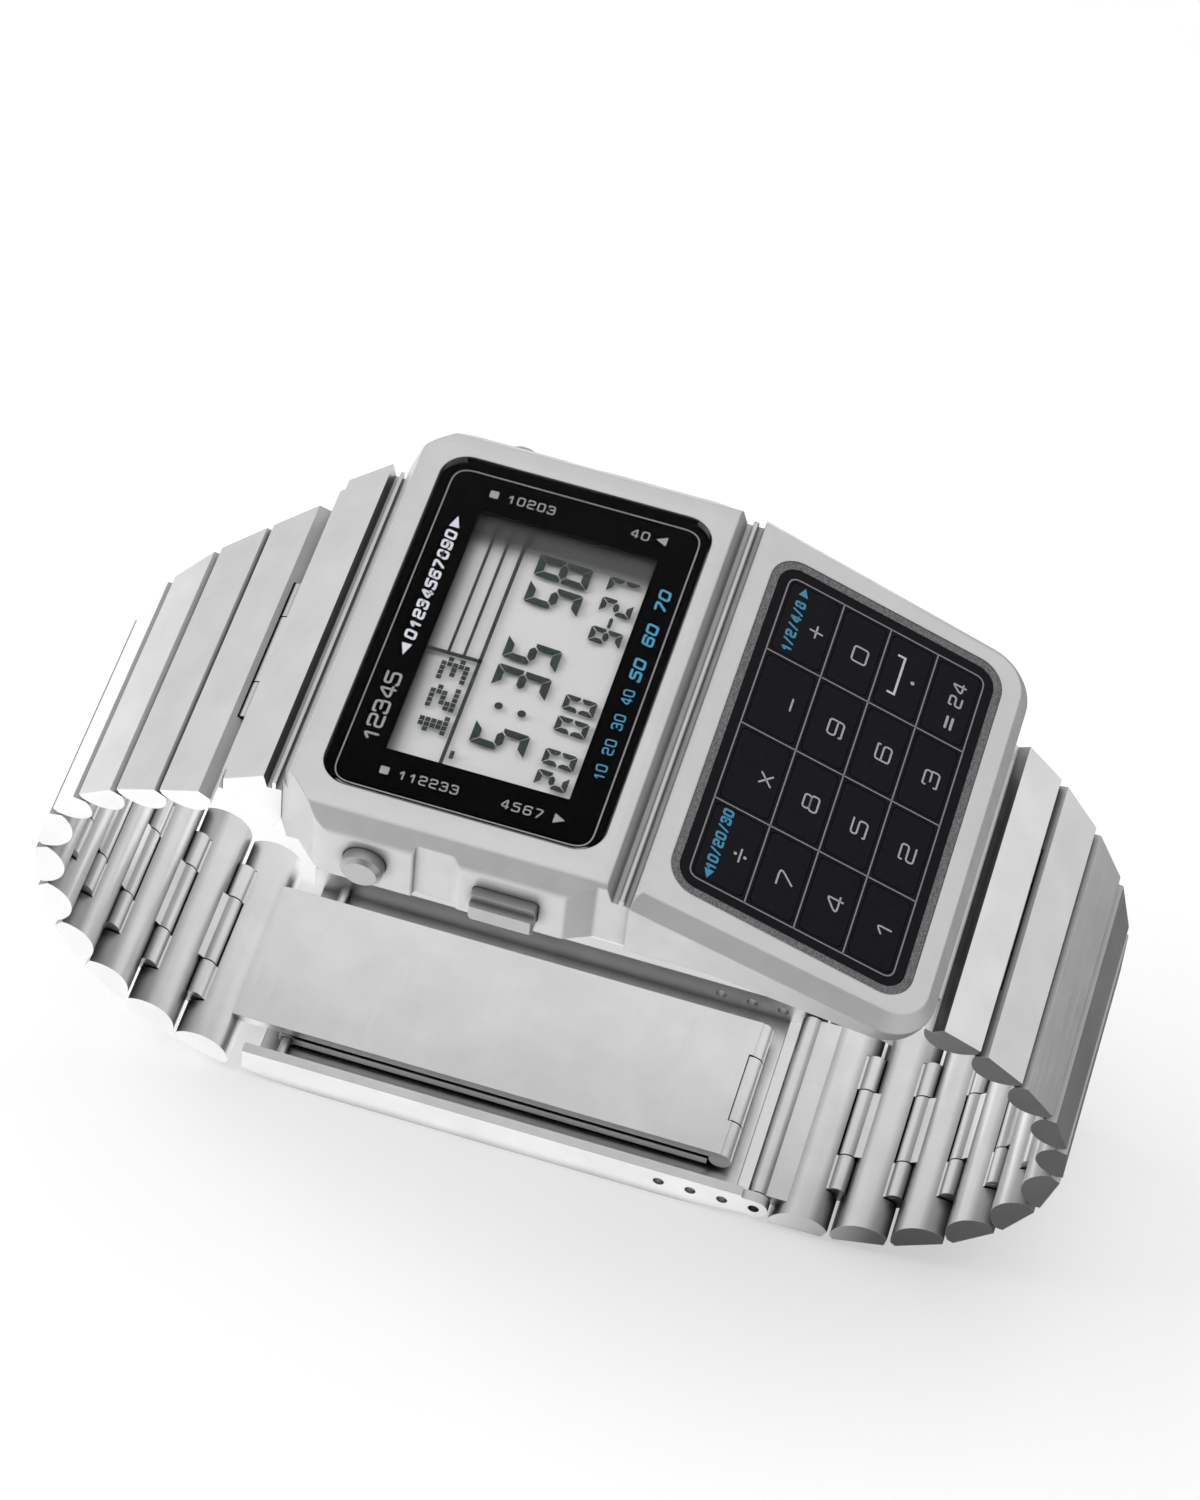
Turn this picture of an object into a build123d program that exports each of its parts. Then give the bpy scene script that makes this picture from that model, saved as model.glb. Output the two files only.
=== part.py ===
"""A calculator watch: resin case with display and sloped keypad, on a steel bracelet with a folding clasp.

Lengths are in millimetres and angles in degrees. The working frame has its origin at the middle of the
glass, +X towards 3 o'clock, +Y towards 12 o'clock and +Z out of the glass. The finished model is then
set down with its clasp on Z = 0, centred in X and Y.
"""
from build123d import *
import math
import os

# Fits
RUN_FIT = 0.05  # radial or side clearance of a moving fit
SEAT_FIT = 0.04  # clearance round a piece that is set into its seat
OVERRUN = 1.0  # how far a cutter runs past the faces that it cuts

# Display glass and what lies under it
GLASS_WIDTH = 29.0
GLASS_LENGTH = 19.27
GLASS_CORNER = 2.0
GLASS_THICKNESS = 1.1
MASK_THICKNESS = 0.25
WINDOW_WIDTH = 21.14
WINDOW_LENGTH = 12.64
WINDOW_SHIFT_X = 0.18
WINDOW_SHIFT_Y = -0.165
LEDGE_THICKNESS = 0.6
LEDGE_WIDTH = 2.2
LCD_WIDTH = 23.8
LCD_LENGTH = 15.6
LCD_THICKNESS = 1.15
LCD_DROP = 0.1  # top of the panel below the ledge that carries the glass
FRAME_WALL = 0.75
FRAME_DECK = 1.4
BOARD_THICKNESS = 0.5
BOARD_INSET = 0.1
CHIP_SIZE = 6.0
CHIP_THICKNESS = 0.25
CRYSTAL_RADIUS = 0.7
CRYSTAL_LENGTH = 4.5
CRYSTAL_SHIFT_X = 9.8
BATTERY_RADIUS = 8.0
BATTERY_THICKNESS = 1.6
BATTERY_STEP = 0.35
BATTERY_CAN = 0.9
BATTERY_SHIFT_Y = -2.0

# Display section of the case
RECESS_INSET = 0.45
WAIST_INSET = 0.9
RIDGE_INSET = 1.2
RIDGE_RUN = 1.0
SHOULDER_INSET = 3.6
BLOCK_HALF = 17.5  # outer faces of the button guards
RECESS_HALF = BLOCK_HALF - RECESS_INSET  # flank between the guards
WAIST_HALF = BLOCK_HALF - WAIST_INSET  # flank beside the groove
RIDGE_HALF = BLOCK_HALF - RIDGE_INSET  # where the flat frame turns down
FLAT_HALF = RIDGE_HALF - RIDGE_RUN
RIDGE_DROP = 0.15
BEVEL_DROP = 1.35
FLANK_BOTTOM = 6.1
TWELVE_END = 12.05
TWELVE_HALF = BLOCK_HALF - SHOULDER_INSET
TWELVE_EDGE_DROP = 1.85
TWELVE_RIDGE = 11.35
TWELVE_FLAT = 10.7
GUARD_TOP_Y = 8.4
GUARD_GAP_TOP_Y = 1.9
GUARD_GAP_LOW_Y = -0.65
GUARD_LOW_TOP_Y = -1.25
GUARD_LOW_Y = -8.4
GUARD_LOW_END_Y = -10.3

# Ribbed groove between the display and the keypad
DISPLAY_FLAT_Y = -10.3
DISPLAY_RIDGE_Y = -10.82
GROOVE_TOP_Y = -11.3
RIB_TOP_Y = -11.72
RIB_LOW_Y = -12.12
GROOVE_LOW_Y = -12.5
KEYPAD_RIDGE_Y = -12.9
GROOVE_DEPTH = 1.7
RIB_DEPTH = 1.2

# Softening of the case's edges
CORNER_SOFT = 2.0
BEVEL_SOFT = 0.8
RIDGE_SOFT = 0.5
STEP_SOFT = 0.18

# Keypad: the plane of the keys, tilted down towards 6 o'clock
KEYPAD_TILT = 20.38
KEY_FIRST_Y = -15.36
KEY_FIRST_Z = -1.40
KEY_COLUMN = 6.487
KEY_COLUMNS = 4
KEY_ROWS = [4.227, 3.704, 3.728, 3.742]
RIB_WIDTH = 0.5
KEY_THICKNESS = 0.95
KEY_TRAVEL = 0.25
KEY_CORNER = 0.35
GUIDE_BORDER = 0.75
GUIDE_CORNER = 1.5
GUIDE_THICKNESS = 1.3
BEZEL_WIDTH = 0.62
BEZEL_RISE = 0.05
BEZEL_CORNER = 2.1
SHEET_THICKNESS = 0.4
DOME_RADIUS = 1.1
DOME_RISE = 0.1
KEYPAD_BOARD_THICKNESS = 0.5
FRAME_RISE = 0.1
KEY_FRAME_TOP = 1.05
KEY_FRAME_HALF = 15.95
KEY_FRAME_LOW_HALF = 15.35
KEY_FRAME_LOW = 1.35
KEY_FRAME_CORNER = 2.6
KEY_BEVEL = 1.05
KEY_FLANK_SLOPE = 45
KEYPAD_FLOOR = 0.85

# Underside of the case
BACK_Z = 8.2
BELLY_WALL = 1.25
BELLY_FLARE = 1.4
BELLY_START_Y = -20.6
TAIL_Y = -30.9
TAIL_Z = 12.6
TAIL_TOP_Z = 9.2
SKIRT_START_Y = -12.6
SKIRT_END_Y = -33.2
SKIRT_END_Z = 9.4
SKIRT_SHARES = [(0, 0), (0.28, 0.076), (0.757, 0.727), (0.913, 0.94), (1, 1)]
LUG_PLATE = 0.3  # plate over the hinge at 6 o'clock
LUG_PLATE_REACH = 0.5  # how far the plate runs past the hinge
LUG_PLATE_ROOT = 3.2  # how far it runs back into the case
HEEL_Z = 6.9
HEEL_Y = 11.3

# Cavities and case back
CAVITY_GAP = 1.55
CAVITY_TOP_GAP = 0.65
CAVITY_LOW_GAP = 1.65
CAVITY_HALF = LCD_WIDTH / 2 + FRAME_WALL + CAVITY_GAP
CAVITY_TOP_Y = LCD_LENGTH / 2 + FRAME_WALL + CAVITY_TOP_GAP
CAVITY_LOW_Y = -LCD_LENGTH / 2 - FRAME_WALL - CAVITY_LOW_GAP
LOWER_STEP = 0.5
LOWER_HALF = LCD_WIDTH / 2 - LOWER_STEP
LOWER_TOP_Y = 7.7
LOWER_LOW_Y = -17.2
LOWER_CORNER = 3.6
LOWER_CEILING_Z = 5.75
BACK_THICKNESS = 0.8
BACK_LEDGE = 1.55
BELLY_LOW_HALF = LOWER_HALF + BACK_LEDGE + BELLY_WALL
BELLY_HALF = BELLY_LOW_HALF + BELLY_FLARE
BACK_CORNER = 1.6
GASKET_WIDTH = 0.5
GASKET_HEIGHT = 0.45
GASKET_MARGIN = 0.2
SCREW_HEAD_RADIUS = 0.85
SCREW_HEAD_HEIGHT = 0.4
SCREW_RADIUS = 0.5
SCREW_LENGTH = 2.2
SCREW_INSET = 1.4
SCREW_SLOT = 0.22

# Side buttons
BUTTON_TRAVEL = 0.6
ROUND_BUTTON_PROUD = 1.1
BAR_BUTTON_PROUD = 1.2
BUTTON_HEAD_DEPTH = 1.5
BUTTON_STEM_RADIUS = 0.6
BUTTON_COLLAR_RADIUS = 0.95
BUTTON_COLLAR = 0.3
ROUND_BUTTON_RADIUS = 1.45
ROUND_BUTTON_EDGE = 0.3
ROUND_BUTTON_Y = 5.2
ROUND_BUTTON_Z = 3.65
BAR_BUTTON_LENGTH = 4.4
BAR_BUTTON_HEIGHT = 2.2
BAR_BUTTON_CORNER = 0.3
BAR_BUTTON_Y = -4.45
BAR_BUTTON_Z = 3.95
BAR_STEP_HEIGHT = 0.7
BAR_STEP_DEPTH = 0.5

# Bracelet bars
BAR_TOP = 3.9
BAR_GAP = 0.55
HINGE_LEAD = 0.3  # from a hinge to the near top edge of its bar
HINGE_DROP = 1.3  # from the top of a bar down to its hinges
BAR_BEVEL = 0.42
BAR_BEVEL_DROP = 0.85
BAR_FAR_LEAN = 0.15
BAR_FAR_DROP = 0.45
BAR_DEPTH = 2.05
BAR_DEEPEST = 2.3
KNUCKLE_RADIUS = 0.8
KNUCKLE_CLEAR = 0.1
PIN_RADIUS = 0.42
KNUCKLE_MIDDLE = 2.9
KNUCKLE_SPLIT = 0.1
KNUCKLE_HALF = 6.0
WEB_HALF = 0.5
WEB_REACH = 1.35
BAND_HALF = 9.0
UPPER_FIRST_HALF = 13.05
UPPER_NARROWING_COUNT = 4
LOWER_FIRST_HALF = 12.5
LOWER_NARROWING_COUNT = 5

# Course of the bracelet, as slopes below the plane of the glass
UPPER_COUNT = 10
LOWER_COUNT = 11
UPPER_SLOPES = [38.8, 39.5, 48.2]
LOWER_SLOPES = [37.0, 48.0, 58.0]
UPPER_BEND = 13.7
UPPER_NEAR_Y = 18.21
UPPER_NEAR_Z = -7.82
LOWER_NEAR_Y = -33.44
LOWER_NEAR_Z = -11.55
LOWER_LEAD = 0.9  # the first bar of the 6 side stands off its hinge tube
LOWER_SHORT = 0.6  # its top starts this much later, behind the plate over the hinge
LOWER_BEVEL = 0.35
TUBE_HALF = 10.4
LUG_BAR_RADIUS = 0.45
TAIL_LENGTH = 1.0  # the last bar of the 6 side reaches this much further, into the clasp

# End link of the 12 side
LINK_NEAR_Y = 13.35
LINK_NEAR_Z = -2.4
LINK_NEAR_HALF = 14.0
LINK_FAR_Y = 16.66
LINK_FAR_Z = -5.09
LINK_FAR_HALF = 13.4
LINK_SEAT_Z = 3.6
LINK_RIB_Y = 12.75
LINK_RIB_Z = 2.95
LINK_FACE = 3.0
LINK_BOTTOM_Z = 8.0
LINK_HEEL_Y = 12.7
LINK_NOTCH_WIDTH = 0.8  # cut in each far corner of its top
LINK_NOTCH_LENGTH = 0.35
LINK_NOTCH_DEPTH = 0.9
TONGUE_HALF = 9.5
TONGUE_REACH = 1.75
TONGUE_TOP_Z = 4.4
TONGUE_LOW_Z = 6.6
LINK_BAR_TIP = 1.1

# Folding clasp
PLATE = 0.7
COVER_RISE = 1.8  # outer face of the cover beyond the hinge line
COVER_LIP = 0.9  # how far the cover's ends curl in
COVER_CURL = 6.0
COVER_WALL = 0.8
COVER_WALL_REACH = 1.3
COVER_START = 0.7
BLADE_HALF = 6.0
INNER_BLADE_OFFSET = 1.1
FOLD_SETBACK = 3.4
FOLD_DROP = 0.2
FOLD_RADIUS = 0.85
COVER_HINGE_SETBACK = 3.2
COVER_HINGE_RISE = 0.35
COVER_HINGE_RADIUS = 0.65
COVER_PIN_RADIUS = 0.35
CLASP_EAR_RADIUS = 1.05
CLASP_HOLES = 4
CLASP_HOLE_PITCH = 2.4
CLASP_TIP_GAP = 0.25
SOLVER_STEPS = 60


def out(normal_slope, side):
    """Unit vector along a bar and unit vector out of its top, in Y and Z."""
    a = math.radians(normal_slope)
    along = (side * math.cos(a), -math.sin(a))
    outward = (side * math.sin(a), math.cos(a))
    return along, outward


def shifted(point, along, by, outward=(0, 0), rise=0):
    """A point in Y and Z moved by one length along a direction and another along a second one."""
    return (
        point[0] + by * along[0] + rise * outward[0],
        point[1] + by * along[1] + rise * outward[1],
    )


# Solids from outlines


def outline_x(points, low, high):
    """A prism along X from an outline in Y and Z."""
    face = Plane.YZ * Polygon(*points, align=None)
    return Location((low, 0, 0)) * extrude(face, high - low, dir=(1, 0, 0))


def outline_y(points, low, high):
    """A prism along Y from an outline in X and Z."""
    face = Plane.XZ * Polygon(*points, align=None)
    return Location((0, low, 0)) * extrude(face, high - low, dir=(0, 1, 0))


def outline_z(points, low, high):
    """A prism along Z from an outline in X and Y."""
    return Location((0, 0, low)) * extrude(Polygon(*points, align=None), high - low, dir=(0, 0, 1))


def block(x0, x1, y0, y1, z0, z1):
    """A box between two corners."""
    middle = ((x0 + x1) / 2, (y0 + y1) / 2, (z0 + z1) / 2)
    return Location(middle) * Box(x1 - x0, y1 - y0, z1 - z0)


def slab(width, y0, y1, corner, z0, z1):
    """A plate with rounded corners, centred in X."""
    face = RectangleRounded(width, y1 - y0, corner)
    return Location((0, (y0 + y1) / 2, z0)) * extrude(face, z1 - z0)


def rod_x(radius, low, high, y=0, z=0):
    """A round bar along X."""
    face = Plane.YZ * Circle(radius)
    return Location((low, y, z)) * extrude(face, high - low)


def soft_outline(points):
    """A face from corners given as two lengths and a rounding radius, zero for a sharp one."""
    face = Polygon(*[(a, b) for a, b, radius in points], align=None)
    for a, b, radius in points:
        if radius > 0:
            corner = face.vertices().sort_by_distance((a, b, 0))[0]
            face = fillet(corner, radius)
    return face


def both_sides(shape):
    """A shape and its mirror image across the middle of the watch."""
    return shape + mirror(shape, Plane.YZ)


def mirrored(points):
    """The right half of an outline in X and another length, closed by its mirror image."""
    return points + [(-x, *rest) for x, *rest in reversed(points)]


# Keypad frame of reference

KEYPAD_PLANE = Plane(
    origin=(0, KEY_FIRST_Y, KEY_FIRST_Z),
    x_dir=(1, 0, 0),
    z_dir=(0, -math.sin(math.radians(KEYPAD_TILT)), math.cos(math.radians(KEYPAD_TILT))),
)
GRID_HALF = KEY_COLUMN * KEY_COLUMNS / 2
GRID_LENGTH = sum(KEY_ROWS)


def on_keypad(shape):
    """A shape drawn in the keypad's own plane, with the grid's first line on X, set in the watch."""
    return KEYPAD_PLANE.location * shape


def keypad_z(y):
    """Height of the keypad's plane at a place along the watch."""
    return KEY_FIRST_Z + (y - KEY_FIRST_Y) * math.tan(math.radians(KEYPAD_TILT))


def keypad_slab(margin, corner, low, high):
    """A plate in the keypad's plane that runs past the grid by a margin all round."""
    return slab(2 * (GRID_HALF + margin), -GRID_LENGTH - margin, margin, corner, low, high)


# Case shell


def display_section():
    """The upper part of the case: bevelled frame, button guards and the ribbed groove."""
    plan = mirrored(
        [
            (TWELVE_HALF, TWELVE_END, CORNER_SOFT),
            (BLOCK_HALF, GUARD_TOP_Y, CORNER_SOFT),
            (BLOCK_HALF, GUARD_GAP_TOP_Y, STEP_SOFT),
            (RECESS_HALF, GUARD_GAP_TOP_Y, STEP_SOFT),
            (RECESS_HALF, GUARD_GAP_LOW_Y, STEP_SOFT),
            (BLOCK_HALF, GUARD_LOW_TOP_Y, STEP_SOFT),
            (BLOCK_HALF, GUARD_LOW_Y, RIDGE_SOFT),
            (WAIST_HALF, GUARD_LOW_END_Y, RIDGE_SOFT),
            (WAIST_HALF, GROOVE_LOW_Y, 0),
        ]
    )
    across = mirrored(
        [
            (FLAT_HALF, 0, 0),
            (RIDGE_HALF, -RIDGE_DROP, RIDGE_SOFT),
            (BLOCK_HALF, -BEVEL_DROP, BEVEL_SOFT),
            (BLOCK_HALF, -FLANK_BOTTOM, 0),
        ]
    )
    along = [
        (TWELVE_FLAT, 0, 0),
        (TWELVE_RIDGE, -RIDGE_DROP, RIDGE_SOFT),
        (TWELVE_END, -TWELVE_EDGE_DROP, STEP_SOFT),
        (TWELVE_END, -FLANK_BOTTOM, 0),
        (GROOVE_LOW_Y, -FLANK_BOTTOM, 0),
        (GROOVE_LOW_Y, -GROOVE_DEPTH, 0),
        (RIB_LOW_Y, -GROOVE_DEPTH, 0),
        (RIB_LOW_Y, -RIB_DEPTH, STEP_SOFT),
        (RIB_TOP_Y, -RIB_DEPTH, STEP_SOFT),
        (RIB_TOP_Y, -GROOVE_DEPTH, 0),
        (GROOVE_TOP_Y, -GROOVE_DEPTH, 0),
        (DISPLAY_RIDGE_Y, -RIDGE_DROP, STEP_SOFT),
        (DISPLAY_FLAT_Y, 0, 0),
    ]
    body = Location((0, 0, -FLANK_BOTTOM)) * extrude(soft_outline(plan), FLANK_BOTTOM, dir=(0, 0, 1))
    length = TWELVE_END - GROOVE_LOW_Y
    cross = extrude(Plane.XZ * soft_outline(across), length, dir=(0, 1, 0))
    body = body & Location((0, GROOVE_LOW_Y, 0)) * cross
    side = extrude(Plane.YZ * soft_outline(along), 2 * BLOCK_HALF, dir=(1, 0, 0))
    return body & Location((-BLOCK_HALF, 0, 0)) * side


def keypad_section():
    """The sloped part of the case: a bevelled frame round the keypad, on a skirt with rounded corners."""
    top = GUIDE_BORDER + BEZEL_WIDTH + KEY_FRAME_TOP
    low = GRID_LENGTH + GUIDE_BORDER + BEZEL_WIDTH + KEY_FRAME_LOW
    corner = KEY_FRAME_CORNER
    right = [(KEY_FRAME_HALF, top, 0), (KEY_FRAME_LOW_HALF, -low, corner)]
    skirt = offset(soft_outline(mirrored(right)), KEY_BEVEL)
    depth = FLANK_BOTTOM + KEY_BEVEL
    body = extrude(skirt, -depth, dir=(0, 0, 1))
    rim = body.faces().sort_by(Axis.Z)[-1].edges()
    body = Location((0, 0, FRAME_RISE)) * chamfer(rim, KEY_BEVEL - SEAT_FIT)
    end = SKIRT_END_Y - OVERRUN
    side = [(GROOVE_LOW_Y, -GROOVE_DEPTH), (KEYPAD_RIDGE_Y, OVERRUN), (end, OVERRUN)]
    length = SKIRT_END_Y - SKIRT_START_Y
    drop = SKIRT_END_Z - FLANK_BOTTOM
    under = [(SKIRT_START_Y + a * length, -FLANK_BOTTOM - b * drop) for a, b in reversed(SKIRT_SHARES)]
    below = [(end, under[0][1])] + under + [(GROOVE_LOW_Y, under[-1][1])]
    return on_keypad(body) & outline_x(side + below, -BLOCK_HALF - OVERRUN, BLOCK_HALF + OVERRUN)


def belly():
    """The middle of the case below the flanks, which carries the case back and the hinge lugs."""
    along = [
        (TWELVE_END, -TWELVE_EDGE_DROP - RIB_WIDTH),
        (TWELVE_END, -HEEL_Z),
        (HEEL_Y, -BACK_Z),
        (BELLY_START_Y, -BACK_Z),
        (TAIL_Y, -TAIL_Z),
        (TAIL_Y, -TAIL_TOP_Z),
        (BELLY_START_Y, -FLANK_BOTTOM),
    ]
    across = mirrored(
        [
            (BELLY_HALF, 0),
            (BELLY_HALF, -FLANK_BOTTOM),
            (BELLY_LOW_HALF, -BACK_Z),
            (BELLY_LOW_HALF, -TAIL_Z),
        ]
    )
    body = outline_x(along, -BELLY_HALF, BELLY_HALF) & outline_y(across, TAIL_Y, TWELVE_END)
    plan = mirrored([(TWELVE_HALF, TWELVE_END), (BLOCK_HALF, GUARD_TOP_Y), (BLOCK_HALF, TAIL_Y)])
    return body & outline_z(plan, -TAIL_Z, 0)


def lug_reach():
    """Where the hinge at 6 o'clock lies, in Y and Z."""
    along, outward = out(LOWER_SLOPES[0], -1)
    return shifted((LOWER_NEAR_Y, LOWER_NEAR_Z), along, -LOWER_LEAD, outward, -HINGE_DROP)


def lugs():
    """Two knuckles at 6 o'clock that hold the spring bar, under a thin plate that covers the hinge."""
    y, z = lug_reach()
    inner = KNUCKLE_HALF + KNUCKLE_CLEAR
    tube = rod_x(KNUCKLE_RADIUS, inner, TUBE_HALF, y, z)
    neck = block(inner, TUBE_HALF, y, max(TAIL_Y, y) + OVERRUN, z - WEB_HALF, z + WEB_HALF)
    return both_sides(tube + neck) + lug_plate()


def lug_plate():
    """The plate over the hinge at 6 o'clock, level with the first bar."""
    along, outward = out(LOWER_SLOPES[0], -1)
    corners = [
        (LUG_PLATE_REACH, HINGE_DROP),
        (LUG_PLATE_REACH, HINGE_DROP - LUG_PLATE),
        (-LUG_PLATE_ROOT, HINGE_DROP - LUG_PLATE),
        (-LUG_PLATE_ROOT, HINGE_DROP),
    ]
    points = [shifted(lug_reach(), along, reach, outward, rise) for reach, rise in corners]
    return outline_x(points, -TUBE_HALF, TUBE_HALF)


def keypad_pocket():
    """The hollow that holds the keypad's border, guide, contact sheet and board."""
    depth = GUIDE_THICKNESS + SHEET_THICKNESS + KEYPAD_BOARD_THICKNESS
    margin = GUIDE_BORDER + BEZEL_WIDTH + SEAT_FIT
    return on_keypad(keypad_slab(margin, BEZEL_CORNER + SEAT_FIT, -depth, OVERRUN))


def display_hollow():
    """Seat of the glass, the opening under it and the cavity of the module."""
    seat = GLASS_THICKNESS + MASK_THICKNESS
    half_length = GLASS_LENGTH / 2 + SEAT_FIT
    corner = GLASS_CORNER + SEAT_FIT
    glass = slab(GLASS_WIDTH + 2 * SEAT_FIT, -half_length, half_length, corner, -seat, OVERRUN)
    opening_half = GLASS_LENGTH / 2 - LEDGE_WIDTH / 2
    width = GLASS_WIDTH - 2 * LEDGE_WIDTH
    opening = slab(width, -opening_half, opening_half, GLASS_CORNER, -seat - OVERRUN, 0)
    ceiling = seat + LEDGE_THICKNESS
    module = block(-CAVITY_HALF, CAVITY_HALF, CAVITY_LOW_Y, CAVITY_TOP_Y, -LOWER_CEILING_Z, -ceiling)
    return glass + opening + module


def back_hollow():
    """Seat of the case back, the battery cavity and the screw holes, cut from below."""
    ceiling = -LOWER_CEILING_Z + SEAT_FIT
    cavity = slab(2 * LOWER_HALF, LOWER_LOW_Y, LOWER_TOP_Y, LOWER_CORNER, -BACK_Z, ceiling)
    seat = slab(
        2 * (LOWER_HALF + BACK_LEDGE + SEAT_FIT),
        LOWER_LOW_Y - BACK_LEDGE - SEAT_FIT,
        LOWER_TOP_Y + BACK_LEDGE + SEAT_FIT,
        BACK_CORNER + SEAT_FIT,
        -BACK_Z - OVERRUN,
        -BACK_Z + BACK_THICKNESS,
    )
    hole = extrude(Circle(SCREW_RADIUS), SCREW_LENGTH + SEAT_FIT)
    holes = [Location((x, y, -BACK_Z)) * hole for x, y in screw_places()]
    return cavity + seat + holes + gasket_ring(SEAT_FIT)


def gasket_ring(fit):
    """A flat ring round the battery cavity, widened by a fit on each side."""
    outer_margin = GASKET_MARGIN + GASKET_WIDTH + fit
    inner_margin = GASKET_MARGIN - fit
    z0 = -BACK_Z + BACK_THICKNESS
    z1 = z0 + GASKET_HEIGHT + fit
    rings = [
        slab(
            2 * (LOWER_HALF + m),
            LOWER_LOW_Y - m,
            LOWER_TOP_Y + m,
            LOWER_CORNER + m,
            z0 - over,
            z1 + over,
        )
        for m, over in ((outer_margin, 0), (inner_margin, OVERRUN))
    ]
    return rings[0] - rings[1]


def screw_places():
    """Centres of the four screws of the case back, in X and Y."""
    x = LOWER_HALF + BACK_LEDGE - SCREW_INSET
    top = LOWER_TOP_Y + BACK_LEDGE - SCREW_INSET
    low = LOWER_LOW_Y - BACK_LEDGE + SCREW_INSET
    return [(x, top), (-x, top), (x, low), (-x, low)]


def tongue_notch():
    """Notch in the 12 o'clock wall for the end link's tongue, with the holes for its spring bar."""
    notch = block(
        -TONGUE_HALF - SEAT_FIT,
        TONGUE_HALF + SEAT_FIT,
        TWELVE_END - TONGUE_REACH - SEAT_FIT,
        TWELVE_END + OVERRUN,
        -TONGUE_LOW_Z - SEAT_FIT,
        -TONGUE_TOP_Z + SEAT_FIT,
    )
    return notch + end_bar(LUG_BAR_RADIUS, 0)


def end_bar(radius, shortened):
    """The spring bar of the end link, or its hole."""
    half = TONGUE_HALF + LINK_BAR_TIP - shortened
    return rod_x(radius, -half, half, TWELVE_END - TONGUE_REACH / 2, -(TONGUE_TOP_Z + TONGUE_LOW_Z) / 2)


def lower_bar(radius, shortened):
    """The spring bar at 6 o'clock, or its hole."""
    y, z = lug_reach()
    half = TUBE_HALF - shortened
    return rod_x(radius, -half, half, y, z)


def button_hole(head):
    """Counterbore for a button's head and the hole of its stem, on the 3 o'clock side."""
    y, z = head.y, -head.z
    seat = BLOCK_HALF - BUTTON_HEAD_DEPTH + head.proud - BUTTON_TRAVEL - SEAT_FIT
    pocket = Location((seat, y, z)) * extrude(Plane.YZ * head.outline(RUN_FIT), BUTTON_HEAD_DEPTH + OVERRUN)
    return pocket + rod_x(BUTTON_STEM_RADIUS + RUN_FIT, CAVITY_HALF - OVERRUN, BLOCK_HALF, y, z)


class RoundHead:
    """Outline and place of the round buttons."""

    y = ROUND_BUTTON_Y
    z = ROUND_BUTTON_Z
    proud = ROUND_BUTTON_PROUD

    @staticmethod
    def outline(fit):
        return Circle(ROUND_BUTTON_RADIUS + fit)


class BarHead:
    """Outline and place of the bar-shaped buttons."""

    y = BAR_BUTTON_Y
    z = BAR_BUTTON_Z
    proud = BAR_BUTTON_PROUD

    @staticmethod
    def outline(fit):
        length = BAR_BUTTON_LENGTH + 2 * fit
        return RectangleRounded(length, BAR_BUTTON_HEIGHT + 2 * fit, BAR_BUTTON_CORNER + fit)


def case_shell():
    """The resin moulding with all its hollows."""
    body = display_section() + keypad_section() + belly() + lugs()
    cuts = [display_hollow(), keypad_pocket(), back_hollow(), tongue_notch(), lower_bar(LUG_BAR_RADIUS, 0)]
    cuts += [both_sides(button_hole(RoundHead)), both_sides(button_hole(BarHead))]
    for cut in cuts:
        body = body - cut
    return body


# Display and module


def display_glass():
    """Flat mineral glass with rounded corners."""
    half = GLASS_LENGTH / 2
    return slab(GLASS_WIDTH, -half, half, GLASS_CORNER, -GLASS_THICKNESS, 0)


def display_mask():
    """Black surround under the glass, with the display's window."""
    half = GLASS_LENGTH / 2
    low = -GLASS_THICKNESS - MASK_THICKNESS
    plate = slab(GLASS_WIDTH, -half, half, GLASS_CORNER, low, -GLASS_THICKNESS)
    window = block(
        WINDOW_SHIFT_X - WINDOW_WIDTH / 2,
        WINDOW_SHIFT_X + WINDOW_WIDTH / 2,
        WINDOW_SHIFT_Y - WINDOW_LENGTH / 2,
        WINDOW_SHIFT_Y + WINDOW_LENGTH / 2,
        low - OVERRUN,
        0,
    )
    return plate - window


LEDGE_Z = -GLASS_THICKNESS - MASK_THICKNESS - LEDGE_THICKNESS
LCD_TOP_Z = LEDGE_Z - LCD_DROP
LCD_LOW_Z = LCD_TOP_Z - LCD_THICKNESS
FRAME_LOW_Z = LCD_LOW_Z - FRAME_DECK
BOARD_LOW_Z = FRAME_LOW_Z - BOARD_THICKNESS


def centred_block(width, length, z0, z1, y=0):
    """A box centred in X, and in Y about a given place."""
    return block(-width / 2, width / 2, y - length / 2, y + length / 2, z0, z1)


def lcd_panel():
    """The liquid crystal panel."""
    return centred_block(LCD_WIDTH, LCD_LENGTH, LCD_LOW_Z, LCD_TOP_Z)


def module_frame():
    """Tray that holds the panel over the board."""
    width = LCD_WIDTH + 2 * FRAME_WALL
    length = LCD_LENGTH + 2 * FRAME_WALL
    tray = centred_block(width, length, FRAME_LOW_Z, LEDGE_Z)
    fit = 2 * SEAT_FIT
    tray = tray - centred_block(LCD_WIDTH + fit, LCD_LENGTH + fit, LCD_LOW_Z, LEDGE_Z + OVERRUN)
    slot_y = LCD_LENGTH / 2 - FRAME_WALL
    slot_width = LCD_WIDTH - 2 * FRAME_WALL
    for y in (-slot_y, slot_y):
        tray = tray - centred_block(slot_width, FRAME_WALL, FRAME_LOW_Z - OVERRUN, LCD_LOW_Z, y)
    return tray


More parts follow.
